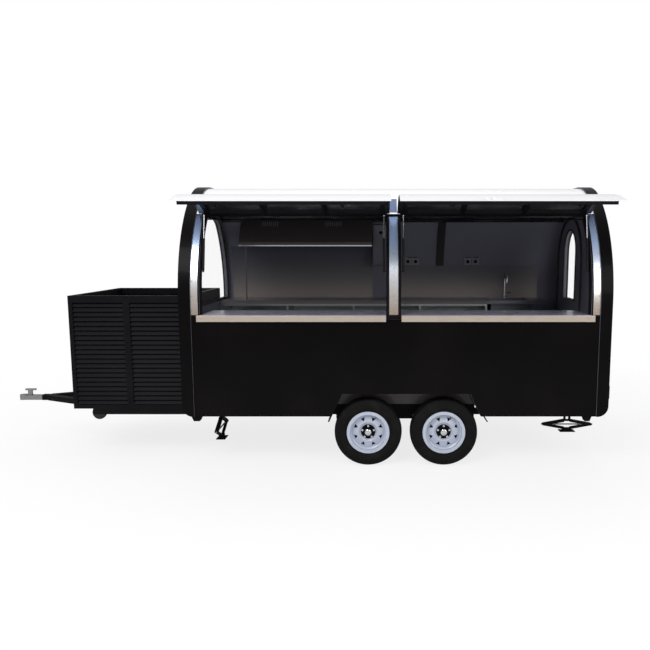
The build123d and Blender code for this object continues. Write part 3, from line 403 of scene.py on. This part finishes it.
def ribbed_floor():
    """Grey floor covering with small raised studs."""
    sheet = Sheet("floor_panel")
    x, y, z = sheet.split(sheet.place((210, 210, 210)))
    studs = (x.sine() * y.sine()).steps(0.3, 0.7)
    wear = sheet.noise(3.0, 4.0)
    tone = sheet.mix(wear.steps(0.4, 0.75), (0.10, 0.10, 0.11), (0.16, 0.155, 0.15))
    return sheet.finish(base_color=tone, roughness=0.55 + 0.2 * wear,
                        normal=sheet.bump(studs, 0.5, 0.001))


def plastic(name, colour, roughness=0.45):
    sheet = Sheet(name)
    grain = sheet.noise(700.0, 1.0)
    tone = sheet.mix(sheet.noise(6.0, 2.0).steps(0.4, 0.8) * 0.3, colour,
                     tuple(0.8 * part for part in colour))
    return sheet.finish(base_color=tone, roughness=roughness + 0.08 * grain,
                        normal=sheet.bump(grain, 0.08, 0.0003))


def enamel(name, colour, roughness=0.25):
    sheet = Sheet(name)
    dirt = sheet.noise(7.0, 4.0)
    tone = sheet.mix(dirt.steps(0.5, 0.85) * 0.35, colour, tuple(0.62 * part for part in colour))
    return sheet.finish(base_color=tone, roughness=roughness + 0.15 * dirt, coat_weight=0.2,
                        normal=sheet.bump(sheet.noise(60.0, 1.0), 0.05, 0.0005))


def clear_glass(name, tint=(0.9, 0.95, 0.97)):
    sheet = Sheet(name)
    smear = sheet.noise(3.0, 3.0)
    return sheet.finish(base_color=tint, roughness=0.02 + 0.05 * smear, alpha=0.04,
                        specular_ior_level=0.2)


def lens(name, colour):
    sheet = Sheet(name)
    x, y, z = sheet.split(sheet.place((260, 260, 260)))
    prism = (y.sine() * z.sine()).abs()
    return sheet.finish(base_color=sheet.mix(prism * 0.5, colour, tuple(0.4 * part for part in colour)),
                        roughness=0.12 + 0.1 * prism, coat_weight=0.5,
                        normal=sheet.bump(prism, 0.3, 0.001))


def lamp_unit():
    """A tail lamp: a black housing whose rear face is a red lens with an amber top."""
    sheet = Sheet("lamp_unit")
    x_out, side, up = sheet.split(sheet.add("ShaderNodeNewGeometry")["Normal"])
    x, y, z = sheet.split(sheet.place())
    amber = (z - 0.735).steps(0.0, 0.004)
    glass = sheet.mix(amber, (0.42, 0.006, 0.006), (0.60, 0.16, 0.01))
    prism = ((y * 300.0).sine() * (z * 300.0).sine()).abs()
    glass = sheet.mix(prism * 0.4, glass, (0.10, 0.004, 0.003))
    tone = sheet.mix(x_out.steps(0.75, 0.85), (0.006, 0.006, 0.007), glass)
    return sheet.finish(base_color=tone, roughness=0.2 + 0.1 * prism, specular_ior_level=0.3,
                        normal=sheet.bump(prism, 0.2, 0.001))


finishes = {
    "body_gloss": body_panel("body_gloss", BLACK_GLOSS, INNER_PANEL),
    "roof_gloss": white_skin_painted_shade("roof_gloss", -0.4, 0.0),
    "frame_satin": powder_coat("frame_satin", (0.0045, 0.0045, 0.0058)),
    "chassis_paint": powder_coat("chassis_paint", (0.0045, 0.0045, 0.005), 0.5),
    "spring_steel": stainless("spring_steel", (0.30, 0.30, 0.31), 0.42, (20, 20, 20)),
    "stainless": stainless("stainless"),
    "strut_black": powder_coat("strut_black", (0.012, 0.012, 0.013), 0.3),
    "strut_rod": stainless("strut_rod", (0.72, 0.72, 0.74), 0.12, (30, 30, 1)),
    "window_glass": clear_glass("window_glass"),
    "handle_black": plastic("handle_black", (0.02, 0.02, 0.022)),
    "floor_panel": ribbed_floor(),
    "box_grey": enamel("box_grey", (0.13, 0.13, 0.16), 0.4),
    "rim_white": enamel("rim_white", (0.46, 0.50, 0.60)),
    "tyre_rubber": tyre_finish(),
    "wheel_rubber": rubber("wheel_rubber", (0.03, 0.03, 0.032), 0.7),
    "lamp_red": lens("lamp_red", (0.5, 0.01, 0.01)),
}
# painted reflection and painted shade: each steel's colour is graded up the piece for the ground, sky and
# dark that it mirrors
STRIP_PAINTED_REFLECTION = [(0.0, (0.42, 0.33, 0.27)), (0.22, (0.62, 0.58, 0.55)), (0.45, (0.80, 0.84, 0.92)),
               (0.72, (0.42, 0.55, 0.82)), (1.0, (0.05, 0.07, 0.13))]
SPLASH_PAINTED_REFLECTION = [(0.0, (0.26, 0.225, 0.21)), (0.5, (0.15, 0.143, 0.155)), (1.0, (0.09, 0.097, 0.14))]
HOOD_PAINTED_REFLECTION = [(0.0, (0.10, 0.082, 0.080)), (0.4, (0.060, 0.050, 0.052)), (1.0, (0.035, 0.032, 0.038))]
steels = {
    "steel_strips": steel_with_painted_reflection("strip_steel_painted_reflection", 1.45, 2.38, STRIP_PAINTED_REFLECTION, 0.2, 0.8),
    "serving_counters": counter_steel(),
    "splashbacks": steel_with_painted_reflection("splash_steel_painted_reflection", 1.45, 2.10, SPLASH_PAINTED_REFLECTION, 0.34),
    "range_hood": steel_with_painted_reflection("hood_steel_painted_reflection", 2.0, 2.5, HOOD_PAINTED_REFLECTION, 0.4),
    "roof": white_skin_painted_shade("roof_skin_painted_shade", 0.45, 0.7),
    "tail_lamps": lamp_unit(),
    "wheel_boxes": enamel("liner_steel", (0.050, 0.040, 0.042), 0.45),
    "back_counter": steel_with_painted_reflection("back_steel_painted_reflection", 1.43, 1.48, SPLASH_PAINTED_REFLECTION[:2], 0.25),
    "sink_unit": stainless("sink_steel", (0.19, 0.19, 0.22), 0.25),
}
for row in frame["record"]["subparts"]:
    piece = nodes[row["node"]]
    piece.data.materials.clear()
    piece.data.materials.append(steels.get(row["node"], finishes[row["material_slot"]]))
print("finishes", len(finishes))

# %% [markdown]
# ## Small things that a maker fits last
# Repeats come from one Geometry Nodes tree, which puts a copy of a small piece on every point
# of a mesh, turned to the way stored at that point.

# %% Plain meshes to start from
BLACK_TRIM = powder_coat("black_trim", (0.004, 0.004, 0.005), 0.45)
GASKET = rubber("gasket", (0.006, 0.006, 0.0065), 0.55)
BRIGHT = stainless("bright_steel", (0.66, 0.67, 0.70), 0.18, (20, 20, 20))
PALE_PLATE = plastic("pale_plate", (0.20, 0.20, 0.23), 0.4)
DULL = finishes["spring_steel"]


def made(name, vertices, faces, finish, body, slot):
    """A new piece from vertices and faces, riding on a body."""
    mesh = bpy.data.meshes.new(name)
    mesh.from_pydata([tuple(vertex) for vertex in vertices], [], faces)
    mesh.materials.append(finish)
    piece = bpy.data.objects.new(name, mesh)
    bpy.context.scene.collection.objects.link(piece)
    settle(piece, body, slot)
    return piece


def settle(piece, body, slot):
    """Consistent normals, soft edges where they are round, and a body to ride on."""
    form = bmesh.new()
    form.from_mesh(piece.data)
    bmesh.ops.recalc_face_normals(form, faces=form.faces)
    form.to_mesh(piece.data)
    form.free()
    piece.data.shade_smooth()
    piece.data.set_sharp_from_angle(angle=math.radians(35))
    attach(piece, body)


def turned(profile, sides=16):
    """Vertices and faces of a small turned piece: (radius, height) up Z, closed at both ends."""
    vertices, faces = [], []
    for radius, height in profile:
        for step in range(sides):
            angle = 2 * math.pi * step / sides
            vertices.append((radius * math.cos(angle), radius * math.sin(angle), height))
    for ring in range(len(profile) - 1):
        for step in range(sides):
            near, far = ring * sides + step, ring * sides + (step + 1) % sides
            faces.append((near, far, far + sides, near + sides))
    faces.append(tuple(reversed(range(sides))))
    faces.append(tuple(range((len(profile) - 1) * sides, len(profile) * sides)))
    return vertices, faces


def slab(x, y, z, middle=(0, 0, 0)):
    """Vertices and faces of a block of full sizes x, y and z."""
    corners = [(sx * x / 2 + middle[0], sy * y / 2 + middle[1], sz * z / 2 + middle[2])
               for sx in (-1, 1) for sy in (-1, 1) for sz in (-1, 1)]
    return corners, [(0, 1, 3, 2), (4, 6, 7, 5), (0, 4, 5, 1), (2, 3, 7, 6), (0, 2, 6, 4), (1, 5, 7, 3)]


def tube(path, radius, closed=False, sides=8):
    """Vertices and faces of a round bar along a path of places."""
    path = [Vector(place) for place in path]
    count = len(path)
    vertices, faces = [], []
    side_way = None
    for index, place in enumerate(path):
        before = path[index - 1] if index or closed else place
        after = path[(index + 1) % count] if index < count - 1 or closed else place
        run = (after - before).normalized()
        if side_way is None:
            side_way = run.orthogonal().normalized()
        side_way = (side_way - run * side_way.dot(run)).normalized()
        third = run.cross(side_way)
        for step in range(sides):
            angle = 2 * math.pi * step / sides
            vertices.append(place + radius * (math.cos(angle) * side_way + math.sin(angle) * third))
    for index in range(count if closed else count - 1):
        for step in range(sides):
            near, far = index * sides + step, index * sides + (step + 1) % sides
            wrap = sides * count
            faces.append((near, far, (far + sides) % wrap, (near + sides) % wrap))
    if not closed:
        faces += [tuple(range(sides)), tuple(range((count - 1) * sides, count * sides))]
    return vertices, faces


# %% Geometry Nodes: copies on points, each turned to its own way
def socket_ids(tree):
    return {item.name: item.identifier for item in tree.interface.items_tree
            if item.item_type == "SOCKET" and item.in_out == "INPUT"}


def new_tree(name, inputs):
    tree = bpy.data.node_groups.new(name, "GeometryNodeTree")
    tree.interface.new_socket("Geometry", in_out="INPUT", socket_type="NodeSocketGeometry")
    for label, kind in inputs:
        tree.interface.new_socket(label, in_out="INPUT", socket_type=kind)
    tree.interface.new_socket("Geometry", in_out="OUTPUT", socket_type="NodeSocketGeometry")
    return tree


def copies_tree():
    """Copies of a piece on the points of the mesh, turned by the stored way, then made real."""
    tree = new_tree("copies_on_points", (("Piece", "NodeSocketObject"), ("Finish", "NodeSocketMaterial")))
    add, link = tree.nodes.new, tree.links.new
    start, end = add("NodeGroupInput"), add("NodeGroupOutput")
    piece = add("GeometryNodeObjectInfo")
    way = add("GeometryNodeInputNamedAttribute")
    way.data_type = "FLOAT_VECTOR"
    way.inputs["Name"].default_value = "way"
    turn = add("FunctionNodeAlignRotationToVector")
    turn.axis = "Z"
    spread = add("GeometryNodeInstanceOnPoints")
    real, paint = add("GeometryNodeRealizeInstances"), add("GeometryNodeSetMaterial")
    link(start.outputs["Piece"], piece.inputs["Object"])
    link(way.outputs["Attribute"], turn.inputs["Vector"])
    link(start.outputs["Geometry"], spread.inputs["Points"])
    link(piece.outputs["Geometry"], spread.inputs["Instance"])
    link(turn.outputs["Rotation"], spread.inputs["Rotation"])
    link(spread.outputs["Instances"], real.inputs["Geometry"])
    link(real.outputs["Geometry"], paint.inputs["Geometry"])
    link(start.outputs["Finish"], paint.inputs["Material"])
    link(paint.outputs["Geometry"], end.inputs["Geometry"])
    return tree


COPIES = copies_tree()


def spread(name, shape, places, finish, body, slot):
    """One piece made of copies of a small shape, at each (place, way it faces)."""
    small_mesh = bpy.data.meshes.new(name + "_one")
    small_mesh.from_pydata([tuple(vertex) for vertex in shape[0]], [], shape[1])
    small = bpy.data.objects.new(name + "_one", small_mesh)
    points = bpy.data.meshes.new(name + "_points")
    points.from_pydata([tuple(place) for place, way in places], [], [])
    stored = points.attributes.new("way", "FLOAT_VECTOR", "POINT")
    ways = np.array([tuple(way) for place, way in places], dtype=np.float32)
    stored.data.foreach_set("vector", ways.ravel())
    holder = bpy.data.objects.new(name + "_points", points)
    for item in (small, holder):
        bpy.context.scene.collection.objects.link(item)
    modifier = holder.modifiers.new("copies", "NODES")
    modifier.node_group = COPIES
    ids = socket_ids(COPIES)
    modifier[ids["Piece"]] = small
    modifier[ids["Finish"]] = finish
    bpy.context.view_layer.update()
    ready = holder.evaluated_get(bpy.context.evaluated_depsgraph_get())
    mesh = bpy.data.meshes.new_from_object(ready)
    mesh.name = name
    piece = bpy.data.objects.new(name, mesh)
    bpy.context.scene.collection.objects.link(piece)
    for item in (small, holder):
        bpy.data.objects.remove(item)
    settle(piece, body, slot)
    return piece


SCREW = turned([(0.0055, -0.001), (0.0055, 0.0012), (0.0040, 0.0026), (0.0015, 0.0030)], 12)
NUT = turned([(0.0120, -0.001), (0.0120, 0.009), (0.0100, 0.011),
              (0.0055, 0.011), (0.0055, 0.016), (0.003, 0.017)], 6)
PLATE = slab(0.086, 0.086, 0.020, (0, 0, -0.006))
HOLE = turned([(0.019, 0.000), (0.019, 0.0050), (0.017, 0.0055)], 20)
OUT = Vector((0, -1, 0))

# %% [markdown]
# ## Serving side
# Screws hold the stainless strips and the counters' lips. Between the hatches a steel cover
# carries the middle strip on up over the roof.

# %% Screws, cover and hatch latches
# where each strip's row of screws is along the body, and how proud of the wall
STRIP_ROWS = ((-1876, 2), (1876, 2), (-16, -18))
strip_rows = [on_wall(x, z, proud) for x, proud in STRIP_ROWS for z in range(1475, 2300, 130)]
spread("strip_screws", SCREW, strip_rows, DULL, "root", "spring_steel")
LIP_FACE, LIP_MIDDLE, POST = -1030, 1397, (-95, 65)
lip_rows = [(at(x, LIP_FACE, LIP_MIDDLE), OUT) for x in range(-1790, 1800, 255)
            if not POST[0] < x < POST[1]]
spread("lip_screws", SCREW, lip_rows, DULL, "root", "spring_steel")


def curved_strip(name, x_low, x_high, low, high, proud, thick, finish, slot):
    """A strip of sheet bent over the body's arch between two angles."""
    bends = 12
    vertices = []
    for bend in range(bends + 1):
        angle = low + (high - low) * bend / bends
        for x in (x_low, x_high):
            for reach in (ARCH_R + proud, ARCH_R + proud + thick):
                vertices.append(at(x, -(ARCH_LEAN + reach * math.cos(angle)),
                                   SPRING + reach * math.sin(angle)))
    faces = []
    for a in range(0, 4 * bends, 4):
        faces += [(a, a + 2, a + 6, a + 4), (a + 1, a + 5, a + 7, a + 3),
                  (a, a + 4, a + 5, a + 1), (a + 2, a + 3, a + 7, a + 6)]
    last = 4 * bends
    faces += [(0, 1, 3, 2), (last, last + 2, last + 3, last + 1)]
    return made(name, vertices, faces, finish, "root", slot)


curved_strip("middle_cover", -50, 18, math.radians(45.2), math.radians(55.5), 1.0, 3.0,
             steels["steel_strips"], "stainless")
HATCH_OPEN = math.radians(74)
PIN = at(0, -680.0477, 2365.5385)
LATCH_Z, LATCH_IN = 1475, -38


def opened(x, z, proud):
    """A place on a shut hatch, and the way it faces, carried to where the hatch stands open."""
    place, way = on_wall(x, z, proud)
    turn = Matrix.Rotation(-HATCH_OPEN, 3, "X")
    return PIN + turn @ (place - Vector((0, PIN.y, PIN.z))) - Vector((PIN.x, 0, 0)), turn @ way


LATCH = slab(0.030, 0.075, 0.022)
for side, xs in (("left", (-1500, -450)), ("right", (450, 1500))):
    spots = [opened(x, LATCH_Z, LATCH_IN) for x in xs]
    spread(f"hatch_{side}_latches", LATCH, spots, BLACK_TRIM, f"hatch_{side}", "handle_black")

# %% [markdown]
# ## Front box and wheel boxes
# Bolt heads run down the posts of the front box. A folded flange closes the foot of each
# wheel box, behind the tyres.

# %% Box bolts and wheel-box flanges
BOX_POSTS, POST_FACE = (-3148, -2605, -2050), -677
box_rows = [(at(x, POST_FACE, z), OUT) for x in BOX_POSTS for z in range(520, 1580, 150)]
spread("box_bolts", SCREW, box_rows, BLACK_TRIM, "root", "frame_satin")
for side in (-1, 1):
    shape = slab(1.368, 0.004, 0.052, at(104, side * 692, 496))
    label = "serving" if side < 0 else "off"
    made(f"wheel_box_flange_{label}", *shape, BLACK_TRIM, "root", "chassis_paint")

# %% [markdown]
# ## Kitchen
# Slots and a bright edge on the hood, faces on the sockets and the electric box, and a
# swan-necked tap in place of the plain one.


# %% Hood, sockets, box and tap
HOOD_LIP, HOOD_IN, HOOD_RISE = (410, 2107), 240, 333
BOX_FOOT, BOX_LEAN, BOX_RISE = (760, 1850), -160, 450


def on_hood(x, share):
    """A place on the hood's slope, from its lip at 0 to its head at 1."""
    place = at(x, HOOD_LIP[0] + HOOD_IN * share, HOOD_LIP[1] + HOOD_RISE * share)
    return place, Vector((0, -HOOD_RISE, HOOD_IN)).normalized()


SLOT = slab(0.007, 0.062, 0.003)
slots = [on_hood(x, 0.62) for start in (-1468, -755) for x in range(start, start + 185, 24)]
spread("hood_slots", SLOT, slots, PALE_PLATE, "root", "box_grey")
made("hood_edge", *slab(1.484, 0.006, 0.012, at(-978, 407, 2070)), BRIGHT, "root", "stainless")
post = slab(0.012, 0.012, 0.600, at(-1640, 400, 1762))
made("hood_post", *post, steels["range_hood"], "root", "stainless")
SOCKET_XS, SOCKET_Z, SOCKET_IN = (186, 277, 896, 987), 1905, -60
wall_spots = [on_wall(x, SOCKET_Z, SOCKET_IN, 1) for x in SOCKET_XS]
inward_spots = [(place, -way) for place, way in wall_spots]
spread("socket_faces", PLATE, inward_spots, PALE_PLATE, "root", "box_grey")
holes = [(place + way * 0.003, way) for place, way in inward_spots]
box_way = Vector((0, -BOX_RISE, BOX_LEAN)).normalized()
KNOB_X, KNOB_UP = -136, 0.82
knob = (at(KNOB_X, BOX_FOOT[0] + BOX_LEAN * KNOB_UP, BOX_FOOT[1] + BOX_RISE * KNOB_UP), box_way)
spread("socket_holes", HOLE, holes + [knob], BLACK_TRIM, "root", "handle_black")

TAP_FOOT = at(1345, 915, 1455)
TAP_RISE, TAP_BEND, TAP_DROP = 0.22, 0.075, 0.035
neck = [TAP_FOOT + Vector((0, 0, TAP_RISE * step / 5)) for step in range(6)]
for step in range(1, 13):
    angle = math.pi * step / 12
    bend = Vector((0, TAP_BEND * (math.cos(angle) - 1), TAP_RISE + TAP_BEND * math.sin(angle)))
    neck.append(TAP_FOOT + bend)
neck.append(neck[-1] - Vector((0, 0, TAP_DROP)))
tap = made("tap_neck", *tube(neck, 0.011, sides=12), BRIGHT, "root", "stainless")
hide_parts("tap")
base, base_faces = turned([(0.026, 0), (0.026, 0.012), (0.018, 0.018), (0.018, 0.055), (0.012, 0.060)], 20)
base = [TAP_FOOT + Vector(vertex) for vertex in base]
made("tap_base", base, base_faces, BRIGHT, "root", "stainless")
lever = tube([TAP_FOOT + Vector((0, 0, 0.045)), TAP_FOOT + Vector((0.07, 0, 0.065))], 0.006)
made("tap_lever", *lever, BRIGHT, "root", "stainless")

# %% [markdown]
# ## Ends
# Rubber runs round the front window, the door's glass and the door's own edge.


# %% Gaskets
def arch_path(x, half, low, spring, shoulder, corner, top):
    """The outline of an arched opening in an end wall, as a closed path."""
    turn = math.asin((top - corner - spring) / (shoulder - corner))
    lean, head = half - shoulder, top - corner
    corner_h = lean + (shoulder - corner) * math.cos(turn)
    right = [(half, low)]
    for step in range(11):
        angle = turn * step / 10
        right.append((lean + shoulder * math.cos(angle), spring + shoulder * math.sin(angle)))
    for step in range(1, 9):
        angle = turn + (math.pi / 2 - turn) * step / 8
        right.append((corner_h + corner * math.cos(angle), head + corner * math.sin(angle)))
    left = [(-h, z) for h, z in reversed(right)]
    return [at(x, h, z) for h, z in right + left]


def door_path(x, width, low, top):
    """The outline of a half-round-headed opening about the door's middle."""
    half = width / 2
    path = [(half, low)]
    for step in range(25):
        angle = math.pi * step / 24
        path.append((half * math.cos(angle), top - half + half * math.sin(angle)))
    path.append((-half, low))
    return [at(x, DOOR_MIDDLE + h, z) for h, z in path]


DOOR_MIDDLE = 342
WALL_OUT, WALL_IN = 2001, 1954
# half width, foot, spring, shoulder radius, corner radius and top
FRONT_WINDOW = (890, 1465, 1550, 1060, 300, 2365)
# width, foot and top
DOOR_WINDOW = (480, 1480, 2240)
DOORWAY = (930, 612, 2376)
for label, x in (("outer", -WALL_OUT), ("inner", -WALL_IN)):
    ring = tube(arch_path(x, *FRONT_WINDOW), 0.009, True)
    made(f"front_gasket_{label}", *ring, GASKET, "root", "wheel_rubber")
for label, x in (("outer", WALL_OUT), ("inner", WALL_IN)):
    ring = tube(door_path(x, *DOOR_WINDOW), 0.010, True)
    made(f"door_glass_gasket_{label}", *ring, GASKET, "door", "wheel_rubber")
ring = tube(door_path(WALL_IN - 1, *DOORWAY), 0.016, True)
made("door_surround", *ring, GASKET, "root", "wheel_rubber")

# %% [markdown]
# ## Wheels
# Each wheel gets a dark hub face, a dark ring behind its windows that is painted shade, bright
# nuts and a cap, a valve, and raised rings on the tyre's outer wall.

# %% Hub faces, nuts, caps, valves and sidewall rings
WHEEL_Y = 872.5
AXLE_HEIGHT = 301
LUG_CIRCLE = 57.15
NUTS, NUT_REACH, HUB_REACH = 5, 43, 74
VALVE_ANGLE = 1.1
CAP = turned([(0.030, -0.002), (0.030, 0.002), (0.024, 0.006), (0.010, 0.008)], 24)
COLLAR = turned([(0.0415, -0.044), (0.0415, -0.006), (0.036, 0.001), (0.0305, 0.001)], 24)
# radius and reach of the corners of each dark ring
RINGS = (("hub_face", ((41, 30.5), (41, 33), (70, 33), (70, 30.5))),
         # rim_shade is painted shade: a dark ring standing in for the shade behind the rim's windows
         ("rim_shade", ((118, 10), (118, 12), (162.5, 12), (162.5, 10))))
# radius and reach of each raised ring on a tyre's wall
WALL_RINGS = ((232, 93.0), (270, 96.8), (296, 88.5))


def dark_ring(name, section, spot, body):
    """A flat ring with four corners to its section."""
    sides = 40
    points = [spot(2 * math.pi * step / sides, radius, reach)
              for radius, reach in section for step in range(sides)]
    count, faces = len(points), []
    for start in range(0, count, sides):
        for step in range(sides):
            near, far = start + step, start + (step + 1) % sides
            faces.append((near, far, (far + sides) % count, (near + sides) % count))
    made(name, points, faces, BLACK_TRIM, body, "frame_satin")


for end, axle_x in (("front", -257.0), ("rear", 465.0)):
    for side, label in ((-1, "serving"), (1, "off")):
        body = f"wheel_{label}_{end}"
        out = Vector((0, side, 0))

        def spot(angle, radius, reach):
            """A place on this wheel, by angle, radius and reach from the tyre's middle."""
            return at(axle_x + radius * math.cos(angle), side * (WHEEL_Y + reach),
                      AXLE_HEIGHT + radius * math.sin(angle))

        for name, section in RINGS:
            dark_ring(f"{name}_{label}_{end}", section, spot, body)
        nuts = [(spot(2 * math.pi * step / NUTS + math.pi / 2, LUG_CIRCLE, NUT_REACH), out)
                for step in range(NUTS)]
        spread(f"wheel_nuts_{label}_{end}", NUT, nuts, BRIGHT, body, "strut_rod")
        hub = [(spot(0, 0, HUB_REACH), out)]
        spread(f"hub_cap_{label}_{end}", CAP, hub, BRIGHT, body, "strut_rod")
        spread(f"hub_collar_{label}_{end}", COLLAR, hub, BLACK_TRIM, body, "frame_satin")
        valve = [spot(VALVE_ANGLE, 148, 22), spot(VALVE_ANGLE, 150, 48)]
        made(f"valve_{label}_{end}", *tube(valve, 0.0045, sides=10), GASKET, body, "wheel_rubber")
        for index, (radius, reach) in enumerate(WALL_RINGS):
            path = [spot(2 * math.pi * step / 96, radius, reach) for step in range(96)]
            made(f"sidewall_ring_{index}_{label}_{end}", *tube(path, 0.0022, True, 6),
                 finishes["tyre_rubber"], body, "tyre_rubber")

# %% [markdown]
# ## Floor and light
# A white floor and sky, as in a catalogue picture. The lamps are large and soft. The black
# paint shows what it reflects, so the strip of light in front of it matters most.


# %% Floor, world and lamps
def floor_finish():
    """A matt white floor: the camera sees it mostly as plain white, with the shadow left in."""
    sheet = Sheet("studio_floor")
    sheet.finish(base_color=(0.93, 0.93, 0.93), roughness=0.95, specular_ior_level=0.0)
    lit = sheet.output.inputs["Surface"].links[0].from_socket
    white = sheet.add("ShaderNodeEmission", None, {"Color": (1, 1, 1), "Strength": 1.0})["Emission"]
    x, y, z = sheet.split(sheet.place())
    away = ((x - MID_X) * (x - MID_X) + (y - MID_Y) * (y - MID_Y)).sqrt()
    share = sheet.add("ShaderNodeLightPath")["Is Camera Ray"] * (0.80 + 0.20 * away.steps(2.5, 7.0))
    blend = sheet.add("ShaderNodeMixShader", None, {"Fac": share, 1: Wire(sheet, lit), 2: white})["Shader"]
    sheet.tree.links.new(blend.socket, sheet.output.inputs["Surface"])
    return sheet.material


FLOOR_HALF = 60.0
floor_mesh = bpy.data.meshes.new("studio_floor")
corners = [(-FLOOR_HALF, -FLOOR_HALF, 0), (FLOOR_HALF, -FLOOR_HALF, 0),
           (FLOOR_HALF, FLOOR_HALF, 0), (-FLOOR_HALF, FLOOR_HALF, 0)]
floor_mesh.from_pydata(corners, [], [(0, 1, 2, 3)])
floor_mesh.materials.append(floor_finish())
floor = bpy.data.objects.new("studio_floor", floor_mesh)
bpy.context.scene.collection.objects.link(floor)

world = bpy.data.worlds.new("studio")
bpy.context.scene.world = world
world.use_nodes = True
background = world.node_tree.nodes["Background"]
light_path = world.node_tree.nodes.new("ShaderNodeLightPath")
SKY_LIGHT = 0.55


def world_math(operation, first, second):
    node = world.node_tree.nodes.new("ShaderNodeMath")
    node.operation = operation
    for socket, value in zip(node.inputs, (first, second)):
        if isinstance(value, float):
            socket.default_value = value
        else:
            world.node_tree.links.new(value, socket)
    return node.outputs[0]


seen = world_math("MAXIMUM", light_path.outputs["Is Camera Ray"],
                  light_path.outputs["Is Transmission Ray"])
strength = world_math("ADD", world_math("MULTIPLY", seen, 1.0 - SKY_LIGHT), SKY_LIGHT)
world.node_tree.links.new(strength, background.inputs["Strength"])
background.inputs["Color"].default_value = (1, 1, 1, 1)

# name, place from the body's middle, size across, size up, power, aims at
LAMPS = (("key", (-3.5, -6.5, 6.0), 5.0, 3.0, 320.0, (0, 0, 1.2)),
         ("fill", (4.5, -6.0, 3.5), 4.0, 3.0, 120.0, (0, 0, 1.2)),
         ("top", (0.0, 0.5, 7.5), 6.0, 4.0, 180.0, (0, 0, 1.5)))
for name, place, width, height, power, target in LAMPS:
    lamp_data = bpy.data.lights.new(name, "AREA")
    lamp_data.shape = "RECTANGLE"
    lamp_data.size, lamp_data.size_y = width, height
    lamp_data.energy = power
    lamp = bpy.data.objects.new(name, lamp_data)
    lamp.location = Vector((MID_X, MID_Y, 0)) + Vector(place)
    aim = Vector((MID_X, MID_Y, 0)) + Vector(target) - lamp.location
    lamp.rotation_euler = aim.to_track_quat("-Z", "Y").to_euler()
    bpy.context.scene.collection.objects.link(lamp)
bpy.context.scene.view_settings.view_transform = "Standard"
print("lamps", len(LAMPS))
